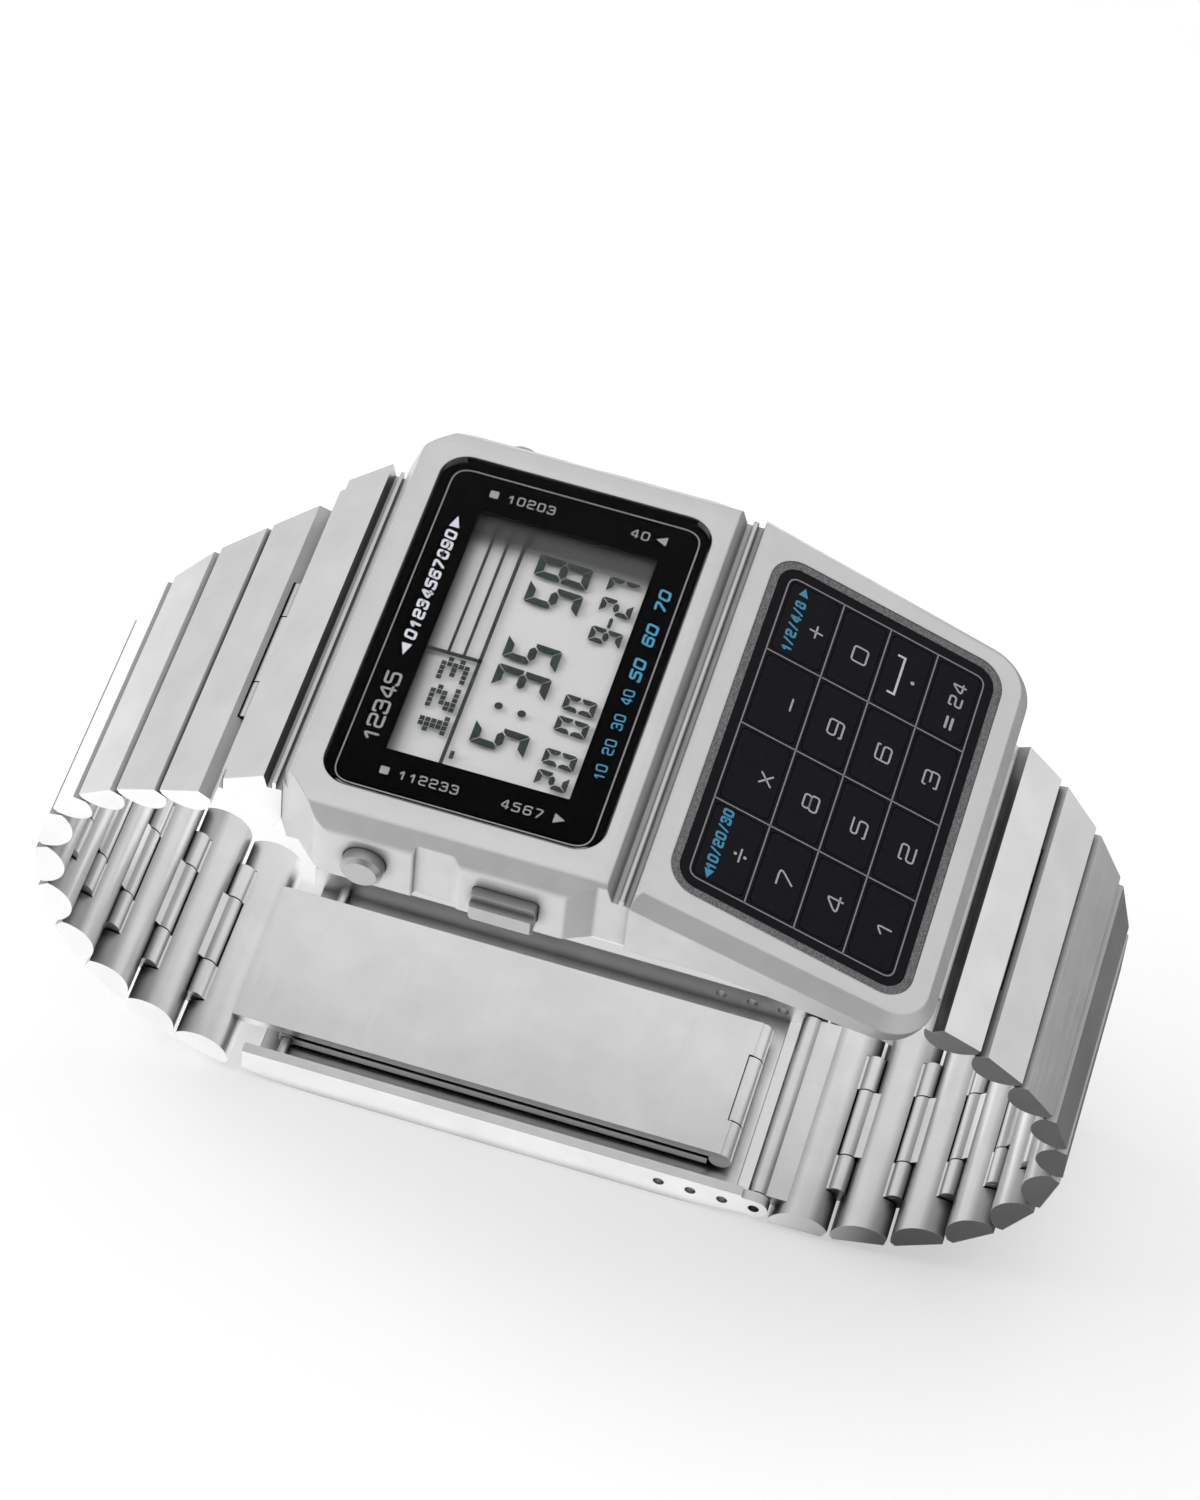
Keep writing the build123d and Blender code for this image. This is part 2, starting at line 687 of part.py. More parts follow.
def main_board():
    """Circuit board with its chip and crystal soldered underneath."""
    width = LCD_WIDTH + 2 * FRAME_WALL - BOARD_INSET
    length = LCD_LENGTH + 2 * FRAME_WALL - BOARD_INSET
    board = centred_block(width, length, BOARD_LOW_Z, FRAME_LOW_Z)
    chip_half = CHIP_SIZE / 2
    chip = block(
        -chip_half,
        chip_half,
        LCD_LENGTH / 2 - CHIP_SIZE,
        LCD_LENGTH / 2,
        BOARD_LOW_Z - CHIP_THICKNESS,
        BOARD_LOW_Z,
    )
    half_length = CRYSTAL_LENGTH / 2
    can = Location((CRYSTAL_SHIFT_X, half_length, BOARD_LOW_Z - CRYSTAL_RADIUS))
    crystal = can * extrude(Plane.XZ * Circle(CRYSTAL_RADIUS), CRYSTAL_LENGTH, dir=(0, -1, 0))
    return Compound([board, chip, crystal])


def battery():
    """A coin cell with its stepped can."""
    top = BOARD_LOW_Z - CHIP_THICKNESS - SEAT_FIT
    low = top - BATTERY_THICKNESS
    can = Location((0, BATTERY_SHIFT_Y, low)) * extrude(Circle(BATTERY_RADIUS), BATTERY_CAN)
    cap = extrude(Circle(BATTERY_RADIUS - BATTERY_STEP), BATTERY_THICKNESS)
    return can + Location((0, BATTERY_SHIFT_Y, low)) * cap


# Keypad pieces


def key_places():
    """Middle of each key and its length, row by row from 12 o'clock, in the keypad's plane."""
    places = []
    row_top = 0
    for length in KEY_ROWS:
        for column in range(KEY_COLUMNS):
            x = -GRID_HALF + KEY_COLUMN * (column + 1 / 2)
            places.append((x, row_top - length / 2, length))
        row_top = row_top - length
    return places


def key_tile(x, y, length, fit, low, high):
    """A rounded tile with half a rib and a fit taken off each side."""
    width = KEY_COLUMN - RIB_WIDTH - 2 * fit
    tile = RectangleRounded(width, length - RIB_WIDTH - 2 * fit, KEY_CORNER)
    return Location((x, y, low)) * extrude(tile, high - low)


def key_guide():
    """Black lattice between the keys, with its border."""
    plate = keypad_slab(GUIDE_BORDER, GUIDE_CORNER, -GUIDE_THICKNESS, 0)
    low = -GUIDE_THICKNESS - OVERRUN
    holes = [key_tile(x, y, length, 0, low, OVERRUN) for x, y, length in key_places()]
    return on_keypad(plate - holes)


def keypad_bezel():
    """Grey border round the guide."""
    margin = GUIDE_BORDER + BEZEL_WIDTH
    ring = keypad_slab(margin, BEZEL_CORNER, -GUIDE_THICKNESS, BEZEL_RISE)
    hole = keypad_slab(GUIDE_BORDER + SEAT_FIT, GUIDE_CORNER + SEAT_FIT, -GUIDE_THICKNESS - OVERRUN, OVERRUN)
    return on_keypad(ring - hole)


def contact_sheet():
    """Rubber sheet with a low dome under each key."""
    low = -GUIDE_THICKNESS - SHEET_THICKNESS
    sheet = keypad_slab(GUIDE_BORDER, GUIDE_CORNER, low, -GUIDE_THICKNESS)
    domes = [
        Location((x, y, -GUIDE_THICKNESS)) * extrude(Circle(DOME_RADIUS), DOME_RISE - RUN_FIT)
        for x, y, length in key_places()
    ]
    return on_keypad(sheet + domes)


def keypad_board():
    """Thin circuit board under the contact sheet."""
    high = -GUIDE_THICKNESS - SHEET_THICKNESS
    return on_keypad(keypad_slab(GUIDE_BORDER, GUIDE_CORNER, high - KEYPAD_BOARD_THICKNESS, high))


KEY_NAMES = ["divide", "multiply", "minus", "plus", "7", "8", "9", "0"]
KEY_NAMES += ["4", "5", "6", "point", "1", "2", "3", "equals"]


def keys():
    """The sixteen keys, by name."""
    made = {}
    for name, (x, y, length) in zip(KEY_NAMES, key_places()):
        made["key_" + name] = on_keypad(key_tile(x, y, length, RUN_FIT, -KEY_THICKNESS, 0))
    return made


# Case back, buttons and spring bars


def case_back():
    """Steel back with four countersunk places for its screws."""
    plate = slab(
        2 * (LOWER_HALF + BACK_LEDGE),
        LOWER_LOW_Y - BACK_LEDGE,
        LOWER_TOP_Y + BACK_LEDGE,
        BACK_CORNER,
        -BACK_Z,
        -BACK_Z + BACK_THICKNESS,
    )
    counterbore = extrude(Circle(SCREW_HEAD_RADIUS + SEAT_FIT), SCREW_HEAD_HEIGHT)
    hole = extrude(Circle(SCREW_RADIUS + SEAT_FIT), BACK_THICKNESS)
    for x, y in screw_places():
        plate = plate - Location((x, y, -BACK_Z)) * (counterbore + hole)
    return plate


def case_back_screws():
    """Four slotted screws."""
    made = []
    for x, y in screw_places():
        head = extrude(Circle(SCREW_HEAD_RADIUS), SCREW_HEAD_HEIGHT)
        shank = extrude(Circle(SCREW_RADIUS), SCREW_LENGTH)
        slot = block(
            -SCREW_HEAD_RADIUS,
            SCREW_HEAD_RADIUS,
            -SCREW_SLOT / 2,
            SCREW_SLOT / 2,
            0,
            SCREW_SLOT,
        )
        made.append(Location((x, y, -BACK_Z)) * (head + shank - slot))
    return Compound(made)


def button(head, edge):
    """A button of the 3 o'clock side: head, stem and the collar that keeps it in."""
    y, z = head.y, -head.z
    outer = BLOCK_HALF + head.proud
    inner = outer - BUTTON_HEAD_DEPTH
    cap = Location((inner, y, z)) * extrude(Plane.YZ * head.outline(0), BUTTON_HEAD_DEPTH)
    cap = chamfer(cap.faces().sort_by(Axis.X)[-1].edges(), edge)
    stem = rod_x(BUTTON_STEM_RADIUS, CAVITY_HALF - BUTTON_COLLAR - RUN_FIT, inner, y, z)
    collar_end = CAVITY_HALF - RUN_FIT
    collar = rod_x(BUTTON_COLLAR_RADIUS, collar_end - BUTTON_COLLAR, collar_end, y, z)
    return cap + stem + collar


def bar_button():
    """A bar-shaped button, stepped along its upper edge."""
    outer = BLOCK_HALF + BAR_BUTTON_PROUD
    top = -BAR_BUTTON_Z + BAR_BUTTON_HEIGHT / 2
    half = BAR_BUTTON_LENGTH / 2 + OVERRUN
    step = block(
        outer - BAR_STEP_DEPTH,
        outer + OVERRUN,
        BAR_BUTTON_Y - half,
        BAR_BUTTON_Y + half,
        top - BAR_STEP_HEIGHT,
        top + OVERRUN,
    )
    return button(BarHead, BAR_BUTTON_CORNER / 2) - step


def buttons():
    """The four side buttons, by name."""
    round_one = button(RoundHead, ROUND_BUTTON_EDGE)
    bar_one = bar_button()
    return {
        "button_round_right": round_one,
        "button_bar_right": bar_one,
        "button_round_left": mirror(round_one, Plane.YZ),
        "button_bar_left": mirror(bar_one, Plane.YZ),
    }


def lug_bars():
    """The two spring bars that hold the bracelet to the case."""
    return Compound([end_bar(LUG_BAR_RADIUS, SEAT_FIT), lower_bar(LUG_BAR_RADIUS, SEAT_FIT)])


# Bracelet


def bar_profile():
    """Section of a bar in Y and Z: hinge at the origin, flat top, bevelled near edge, rounded underside."""
    near = (HINGE_LEAD, HINGE_DROP)
    far = (HINGE_LEAD + BAR_TOP, HINGE_DROP)
    low_near = (near[0] - BAR_BEVEL, near[1] - BAR_BEVEL_DROP)
    low_far = (far[0] + BAR_FAR_LEAN, far[1] - BAR_FAR_DROP)
    deepest = (near[0] + BAR_DEEPEST, near[1] - BAR_DEPTH)
    under = ThreePointArc(low_far, deepest, low_near)
    return make_face(Curve() + [Line(low_near, near), Line(near, far), Line(far, low_far), under])


def bar_body(near_half, far_half):
    """A bar of the bracelet, tapering from one half width to another, along +Y from its hinge."""
    widest = max(near_half, far_half)
    body = Location((-widest, 0, 0)) * extrude(Plane.YZ * bar_profile(), 2 * widest)
    near = HINGE_LEAD - BAR_BEVEL
    far = HINGE_LEAD + BAR_TOP + BAR_FAR_LEAN
    lean = (near_half - far_half) / (far - near)
    start = near - OVERRUN
    end = far + OVERRUN
    plan = mirrored([(near_half + lean * OVERRUN, start), (far_half - lean * OVERRUN, end)])
    return body & outline_z(plan, -BAR_DEPTH, HINGE_DROP + OVERRUN)


def relief(y):
    """Room in a bar for its neighbour's knuckles."""
    half = KNUCKLE_HALF + KNUCKLE_CLEAR
    return rod_x(KNUCKLE_RADIUS + KNUCKLE_CLEAR, -half, half, y)


def knuckle(low, high, y, toward, bore, reach=WEB_REACH, top=WEB_HALF):
    """A knuckle round a hinge with the web that joins it to its own bar."""
    tube = rod_x(KNUCKLE_RADIUS, low, high, y)
    end = y + toward * reach
    web = block(low, high, min(y, end), max(y, end), -WEB_HALF, top)
    return tube + web - rod_x(bore, low, high, y)


PITCH = BAR_TOP + BAR_GAP
SIDE_INNER = KNUCKLE_MIDDLE + KNUCKLE_SPLIT


def side_knuckles(y, toward):
    """The two outer knuckles of a hinge, which grip its pin."""
    return both_sides(knuckle(SIDE_INNER, KNUCKLE_HALF, y, toward, PIN_RADIUS))


def middle_knuckle(y, toward):
    """The middle knuckle of a hinge, which turns on its pin."""
    return knuckle(-KNUCKLE_MIDDLE, KNUCKLE_MIDDLE, y, toward, PIN_RADIUS + RUN_FIT)


def hinge_pin():
    """The pin of a hinge."""
    return rod_x(PIN_RADIUS, -KNUCKLE_HALF, KNUCKLE_HALF)


def plain_link(near_half, far_half):
    """A bar with outer knuckles and pin at its near hinge and a middle knuckle at its far one."""
    body = bar_body(near_half, far_half) - relief(0) - relief(PITCH)
    body = body + side_knuckles(0, 1) + middle_knuckle(PITCH, -1)
    return body


def first_lower_link(near_half, far_half):
    """The bar at 6 o'clock: its wide knuckle turns on the case's spring bar, between the case's own two."""
    shift = Location((0, LOWER_LEAD - HINGE_LEAD, 0))
    body = shift * (bar_body(near_half, far_half) - relief(PITCH) + middle_knuckle(PITCH, -1))
    half = TUBE_HALF + KNUCKLE_CLEAR
    body = body - rod_x(KNUCKLE_RADIUS + KNUCKLE_CLEAR, -half, half)
    near = LOWER_LEAD + LOWER_SHORT
    ledge = HINGE_DROP - BAR_BEVEL_DROP
    low = near - LOWER_BEVEL
    start = -KNUCKLE_RADIUS
    cut = [(near, HINGE_DROP), (low, ledge), (start, ledge), (start, HINGE_DROP + OVERRUN), (near, HINGE_DROP + OVERRUN)]
    body = body - outline_x(cut, -near_half - OVERRUN, near_half + OVERRUN)
    reach = near
    return body + knuckle(-KNUCKLE_HALF, KNUCKLE_HALF, 0, 1, LUG_BAR_RADIUS + RUN_FIT, reach, ledge)


def tail_link(half):
    """The last bar of the 6 side: its far tube carries the clasp's spring bar."""
    reach = PITCH + TAIL_LENGTH
    half_tube = clasp_inner_half() - CLASP_TIP_GAP
    tube = rod_x(KNUCKLE_RADIUS, -half_tube, half_tube, reach)
    web = block(-half_tube, half_tube, PITCH - WEB_REACH, reach, -WEB_HALF, WEB_HALF)
    body = bar_body(half, half) - relief(0) + side_knuckles(0, 1)
    return body + (tube + web - rod_x(PIN_RADIUS, -half_tube, half_tube, reach))


def tail_bar():
    """The clasp's spring bar, drawn with its sprung tips pressed in."""
    half_tube = clasp_inner_half() - CLASP_TIP_GAP
    return rod_x(PIN_RADIUS, -half_tube, half_tube, PITCH + TAIL_LENGTH)


def clasp_inner_half():
    """Half the width between the clasp cover's walls."""
    return BAND_HALF - COVER_WALL


# Course of the bracelet


def hinge_line(start, slopes, lengths, side):
    """Hinges in Y and Z from a first one, one bar after another."""
    points = [start]
    for slope, length in zip(slopes, lengths):
        along, outward = out(slope, side)
        points.append(shifted(points[-1], along, length))
    return points


def all_slopes(measured, bend, count):
    """Slopes of all the bars of a side: those that show, then a steady bend."""
    hidden = [measured[-1] + bend * (i + 1) for i in range(count - len(measured))]
    return measured + hidden


def upper_course():
    """Slopes and hinges of the 12 side, with the clasp's fixed bar as the last one."""
    slopes = all_slopes(UPPER_SLOPES, UPPER_BEND, UPPER_COUNT + 1)
    along, outward = out(slopes[0], 1)
    start = shifted((UPPER_NEAR_Y, UPPER_NEAR_Z), along, -HINGE_LEAD, outward, -HINGE_DROP)
    return slopes, hinge_line(start, slopes, [PITCH] * len(slopes), 1)


def lower_lengths():
    """Distance between hinges for each bar of the 6 side."""
    first = PITCH + LOWER_LEAD - HINGE_LEAD
    return [first] + [PITCH] * (LOWER_COUNT - 2) + [PITCH + TAIL_LENGTH]


def lower_course(bend):
    """Slopes and hinges of the 6 side at a given bend of its hidden bars."""
    slopes = all_slopes(LOWER_SLOPES, bend, LOWER_COUNT)
    return slopes, hinge_line(lug_reach(), slopes, lower_lengths(), -1)


def closing_bend():
    """The bend of the hidden 6 side bars that brings both ends of the bracelet to one height."""
    goal = upper_course()[1][-1][1]
    low, high = 0, 180 / LOWER_COUNT
    for step in range(SOLVER_STEPS):
        middle = (low + high) / 2
        if lower_course(middle)[1][-1][1] < goal:
            low = middle
        else:
            high = middle
    return middle


LOWER_BEND = closing_bend()
CLASP_START = upper_course()[1][-1]
CLASP_END = lower_course(LOWER_BEND)[1][-1]
CLASP_LENGTH = CLASP_START[0] - CLASP_END[0]


def placed(shape, hinge, slope, side):
    """A bar drawn along +Y from its hinge, set on the bracelet."""
    turned = Rot(0, 0, 0 if side > 0 else 180) * shape
    return Location((0, hinge[0], hinge[1]), (-side * slope, 0, 0)) * turned


def width_at(index, first, count):
    """Half width of the bracelet after a number of bars, which narrows over the first few."""
    return first + (BAND_HALF - first) * min(index, count) / count


def upper_links():
    """The bars of the 12 side."""
    slopes, hinges = upper_course()
    made = {}
    for i in range(UPPER_COUNT):
        near = width_at(i, UPPER_FIRST_HALF, UPPER_NARROWING_COUNT)
        far = width_at(i + 1, UPPER_FIRST_HALF, UPPER_NARROWING_COUNT)
        pieces = [plain_link(near, far), hinge_pin()]
        made[f"upper_link_{i + 1:02d}"] = Compound([placed(p, hinges[i], slopes[i], 1) for p in pieces])
    return made


def lower_links():
    """The bars of the 6 side."""
    slopes, hinges = lower_course(LOWER_BEND)
    made = {}
    for i in range(LOWER_COUNT):
        near = width_at(i, LOWER_FIRST_HALF, LOWER_NARROWING_COUNT)
        far = width_at(i + 1, LOWER_FIRST_HALF, LOWER_NARROWING_COUNT)
        pieces = [plain_link(near, far), hinge_pin()]
        if i == 0:
            pieces = [first_lower_link(near, far)]
        if i == LOWER_COUNT - 1:
            pieces = [tail_link(near), hinge_pin(), tail_bar()]
        made[f"lower_link_{i + 1:02d}"] = Compound([placed(p, hinges[i], slopes[i], -1) for p in pieces])
    return made


def end_link():
    """The plate between the case and the first bar of the 12 side, with its tongue and ribbed groove."""
    hinge = upper_course()[1][0]
    side = [
        (LINK_NEAR_Y, LINK_NEAR_Z),
        (LINK_FAR_Y, LINK_FAR_Z),
        (LINK_FAR_Y, LINK_FAR_Z - LINK_FACE),
        (LINK_HEEL_Y, -LINK_BOTTOM_Z),
        (TWELVE_END + SEAT_FIT, -HEEL_Z),
        (TWELVE_END + SEAT_FIT, -LINK_SEAT_Z),
        (LINK_RIB_Y - RIB_WIDTH / 2, -LINK_SEAT_Z),
        (LINK_RIB_Y - RIB_WIDTH / 2, -LINK_RIB_Z),
        (LINK_RIB_Y, -LINK_RIB_Z),
        (LINK_RIB_Y, -LINK_SEAT_Z),
        (LINK_NEAR_Y - RIB_WIDTH / 2, -LINK_SEAT_Z),
    ]
    lean = (LINK_NEAR_HALF - LINK_FAR_HALF) / (LINK_FAR_Y - LINK_NEAR_Y)
    plan = mirrored(
        [
            (TWELVE_HALF, TWELVE_END),
            (LINK_NEAR_HALF, LINK_NEAR_Y),
            (LINK_FAR_HALF - lean * OVERRUN, LINK_FAR_Y + OVERRUN),
        ]
    )
    body = outline_x(side, -LINK_NEAR_HALF, LINK_NEAR_HALF) & outline_z(plan, -LINK_BOTTOM_Z - LINK_FACE, 0)
    body = body - Location((0, hinge[0], hinge[1])) * relief(0) - both_sides(link_notch())
    reach = TWELVE_END - TONGUE_REACH
    body = body + block(-TONGUE_HALF, TONGUE_HALF, reach, LINK_NEAR_Y, -TONGUE_LOW_Z, -TONGUE_TOP_Z)
    body = body - end_bar(LUG_BAR_RADIUS, 0)
    turned = Rot(-UPPER_SLOPES[0], 0, 0) * middle_knuckle(0, -1)
    return body + Location((0, hinge[0], hinge[1])) * turned


def link_notch():
    """A notch in the far corner of the end link's top."""
    return block(
        LINK_FAR_HALF - LINK_NOTCH_WIDTH,
        LINK_NEAR_HALF + OVERRUN,
        LINK_FAR_Y - LINK_NOTCH_LENGTH,
        LINK_FAR_Y + OVERRUN,
        LINK_FAR_Z - LINK_NOTCH_DEPTH,
        0,
    )


# Clasp: drawn with its hinge line on Y, the outside towards +Z, then turned to lie at the bottom of the loop


def on_clasp(shape):
    """A clasp piece set at the bottom of the loop, running from the 12 side to the 6 side."""
    return Location((0, CLASP_START[0], CLASP_START[1]), (180, 0, 0)) * shape


def fold_place():
    """Hinge between the two blades, in the clasp's own Y and Z."""
    return (CLASP_LENGTH - FOLD_SETBACK, -FOLD_DROP)


def cover_hinge_place():
    """Hinge between the cover and the outer blade, in the clasp's own Y and Z."""
    return (COVER_HINGE_SETBACK, COVER_HINGE_RISE)


def at_place(shape, place):
    """A shape drawn at the origin, set at a place in the clasp's own Y and Z."""
    return Location((0, place[0], place[1])) * shape


def clasp_inner_blade():
    """The blade next to the wrist, with the fixed bar that joins it to the 12 side."""
    slopes, hinges = upper_course()
    fold = fold_place()
    bar = bar_body(BAND_HALF, BAND_HALF) - relief(0) + side_knuckles(0, 1)
    bar = placed(bar, hinges[-2], slopes[-1], 1)
    pin = placed(hinge_pin(), hinges[-2], slopes[-1], 1)
    plate = block(
        -BLADE_HALF,
        BLADE_HALF,
        -BAR_GAP - PLATE,
        fold[0],
        -INNER_BLADE_OFFSET,
        -INNER_BLADE_OFFSET + PLATE,
    )
    plate = plate - at_place(rod_x(FOLD_RADIUS + KNUCKLE_CLEAR, -SIDE_INNER, SIDE_INNER), fold)
    knuckles = rod_x(FOLD_RADIUS, SIDE_INNER, BLADE_HALF)
    plate = plate + at_place(both_sides(knuckles), fold)
    plate = plate - at_place(rod_x(PIN_RADIUS, -BLADE_HALF, BLADE_HALF), fold)
    fold_pin = on_clasp(at_place(rod_x(PIN_RADIUS, -BLADE_HALF, BLADE_HALF), fold))
    return Compound([bar + on_clasp(plate), pin, fold_pin])


def clasp_outer_blade():
    """The blade that folds between the inner blade and the cover."""
    fold = fold_place()
    hinge = cover_hinge_place()
    plate = block(-BLADE_HALF, BLADE_HALF, hinge[0], fold[0], 0, PLATE)
    side = BLADE_HALF - SIDE_INNER + KNUCKLE_SPLIT
    clear = fold[0] - FOLD_RADIUS - KNUCKLE_CLEAR
    room = block(SIDE_INNER - KNUCKLE_SPLIT, SIDE_INNER + side, clear, fold[0], -PLATE, PLATE * 2)
    plate = plate - both_sides(room) + at_place(rod_x(FOLD_RADIUS, -KNUCKLE_MIDDLE, KNUCKLE_MIDDLE), fold)
    plate = plate + at_place(rod_x(COVER_HINGE_RADIUS, -BLADE_HALF, BLADE_HALF), hinge)
    plate = plate - at_place(rod_x(PIN_RADIUS + RUN_FIT, -BLADE_HALF, BLADE_HALF), fold)
    plate = plate - at_place(rod_x(COVER_PIN_RADIUS + RUN_FIT, -BLADE_HALF, BLADE_HALF), hinge)
    return on_clasp(plate)


def cover_section(thickness):
    """Section of the cover in Y and Z, flat in the middle with its ends curled in."""
    start = COVER_START
    end = CLASP_LENGTH - KNUCKLE_RADIUS - KNUCKLE_CLEAR * 2
    high = COVER_RISE
    low = COVER_RISE - COVER_LIP
    bulge = COVER_LIP / 4
    outer = [
        ThreePointArc((start, low), (start + COVER_CURL / 2, high - bulge), (start + COVER_CURL, high)),
        Line((start + COVER_CURL, high), (end - COVER_CURL, high)),
        ThreePointArc((end - COVER_CURL, high), (end - COVER_CURL / 2, high - bulge), (end, low)),
    ]
    inner = [
        Line((end, low), (end, low - thickness)),
        Line((end, low - thickness), (start, low - thickness)),
        Line((start, low - thickness), (start, low)),
    ]
    return make_face(Curve() + outer + inner)


def clasp_cover():
    """The outer cover: a channel whose walls carry the blade's hinge and the adjusting holes."""
    depth = COVER_RISE - COVER_LIP + COVER_WALL_REACH
    solid = Location((-BAND_HALF, 0, 0)) * extrude(Plane.YZ * cover_section(depth), 2 * BAND_HALF)
    ear = both_sides(rod_x(CLASP_EAR_RADIUS, clasp_inner_half(), BAND_HALF, CLASP_LENGTH))
    inner = clasp_inner_half()
    start = CLASP_LENGTH - FOLD_SETBACK
    neck = block(inner, BAND_HALF, start, CLASP_LENGTH, -CLASP_EAR_RADIUS, COVER_RISE - COVER_LIP)
    solid = solid + ear + both_sides(neck)
    far = CLASP_LENGTH + CLASP_EAR_RADIUS + OVERRUN
    room = block(-inner, inner, -OVERRUN, far, -COVER_WALL_REACH - OVERRUN, COVER_RISE - PLATE)
    hinge = cover_hinge_place()
    solid = solid - room - at_place(rod_x(COVER_PIN_RADIUS, -BAND_HALF, BAND_HALF), hinge)
    for i in range(CLASP_HOLES):
        solid = solid - rod_x(PIN_RADIUS, -BAND_HALF, BAND_HALF, CLASP_LENGTH - CLASP_HOLE_PITCH * i)
    pin = at_place(rod_x(COVER_PIN_RADIUS, -BAND_HALF, BAND_HALF), hinge)
    return Compound([on_clasp(solid), on_clasp(pin)])


# The whole watch


def all_nodes():
    """Every node of the watch in the working frame, by name."""
    nodes = {
        "case_shell": case_shell(),
        "display_glass": display_glass(),
        "display_mask": display_mask(),
        "lcd_panel": lcd_panel(),
        "module_frame": module_frame(),
        "main_board": main_board(),
        "battery": battery(),
        "keypad_bezel": keypad_bezel(),
        "key_guide": key_guide(),
        "contact_sheet": contact_sheet(),
        "keypad_board": keypad_board(),
        "case_back": case_back(),
        "case_back_gasket": gasket_ring(0),
        "case_back_screws": case_back_screws(),
        "lug_bars": lug_bars(),
        "end_link": end_link(),
        "clasp_inner_blade": clasp_inner_blade(),
        "clasp_outer_blade": clasp_outer_blade(),
        "clasp_cover": clasp_cover(),
    }
    nodes.update(keys())
    nodes.update(buttons())
    nodes.update(upper_links())
    nodes.update(lower_links())
    return nodes


def set_down():
    """The move from the working frame to the part's frame."""
    lowest = CLASP_START[1] - COVER_RISE
    front = max(link.bounding_box().max.Y for link in NODES.values())
    back = min(link.bounding_box().min.Y for link in NODES.values())
    return Location((0, -(front + back) / 2, -lowest))


NODES = all_nodes()
SET_DOWN = set_down()
os.makedirs("parts", exist_ok=True)
for node_name, node_shape in NODES.items():
    export_step(SET_DOWN * node_shape, f"parts/{node_name}.step")
print(f"loop: lower bend {LOWER_BEND:.2f}, clasp {CLASP_LENGTH:.2f} mm, nodes {len(NODES)}")
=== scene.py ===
import math
from collections import Counter
import bmesh
import bpy
from mathutils import Matrix, Vector


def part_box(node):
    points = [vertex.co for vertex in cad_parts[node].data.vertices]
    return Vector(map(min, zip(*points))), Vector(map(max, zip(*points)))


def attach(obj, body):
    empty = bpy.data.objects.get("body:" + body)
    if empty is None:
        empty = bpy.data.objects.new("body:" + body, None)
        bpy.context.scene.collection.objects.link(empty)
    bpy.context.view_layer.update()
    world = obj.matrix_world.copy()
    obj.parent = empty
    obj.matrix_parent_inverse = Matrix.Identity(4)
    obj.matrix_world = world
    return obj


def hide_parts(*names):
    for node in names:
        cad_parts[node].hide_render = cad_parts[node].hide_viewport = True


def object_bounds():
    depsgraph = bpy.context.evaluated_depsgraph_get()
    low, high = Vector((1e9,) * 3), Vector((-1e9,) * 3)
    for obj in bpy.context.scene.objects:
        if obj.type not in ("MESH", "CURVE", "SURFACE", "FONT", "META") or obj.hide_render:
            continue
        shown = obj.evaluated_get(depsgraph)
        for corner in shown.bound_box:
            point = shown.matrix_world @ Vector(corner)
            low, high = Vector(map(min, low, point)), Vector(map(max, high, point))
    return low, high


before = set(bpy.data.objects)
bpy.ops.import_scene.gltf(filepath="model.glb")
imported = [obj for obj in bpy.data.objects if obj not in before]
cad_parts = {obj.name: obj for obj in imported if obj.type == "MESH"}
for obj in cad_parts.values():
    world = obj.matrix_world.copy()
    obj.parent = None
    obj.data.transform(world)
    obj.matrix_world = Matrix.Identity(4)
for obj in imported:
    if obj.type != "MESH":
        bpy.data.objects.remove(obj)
CAD_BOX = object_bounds()

# Places, in millimetres from the middle of the glass's top: +X 3 o'clock, +Y 12 o'clock, +Z up
MM = 0.001
GLASS_LOW, GLASS_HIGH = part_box("display_glass")
ORIGIN = Vector((0, (GLASS_LOW.y + GLASS_HIGH.y) / 2, GLASS_HIGH.z))
FLOOR_Z = CAD_BOX[0].z

# The camera that the photograph's straight lines gave
CAMERA_PLACE = Vector((-196.680, -43.692, 265.845))
CAMERA_LOOK = Vector((0.57854, 0.11049, -0.80814))
CAMERA_UP = Vector((0.76547, 0.26861, 0.58472))
LENS, SENSOR = 120, 36  # in millimetres
CLIP = (0.01, 20)  # in metres

# The studio, in metres
FLOOR_RADIUS = 0.12
FLOOR_STEPS = 96
FLOOR_WHITE = 0.80  # base colour
FLOOR_SPREAD = 0.01  # of the base colour's mottle
FLOOR_GLOW = 0.43  # where the camera sees the floor
FLOOR_SHINE = 0.85  # in reflections, past the change towards 12 o'clock
FLOOR_SHADE = 0.22  # base colour in reflections, before the change
FLOOR_CHANGE = (ORIGIN.y - 0.032, ORIGIN.y - 0.022)  # along Y
WORLD_FILL = 0.22  # the world's light on the object
# The grey sides of the room in reflections: direction, cosine where the grey starts, strength in its middle
DARK_SIDES = (
    ((0.45, -0.80, -0.40), 0.88, 0.70),
    ((-0.83, -0.13, 0.54), 0.78, 0.08),
    ((0.90, 0.43, 0.0), 0.74, 0.74),
)
# The lamps: name, place from the glass's middle, side and power
SOFTBOXES = (
    ("key_softbox", (0.0, 0.34, 0.40), 0.34, 1.1),
    ("top_softbox", (0.05, -0.05, 0.50), 0.45, 0.95),
    ("fill_softbox", (0.25, -0.35, 0.22), 0.40, 0.2),
    ("side_softbox", (-0.28, 0.20, -0.07), 0.20, 0.42),
)

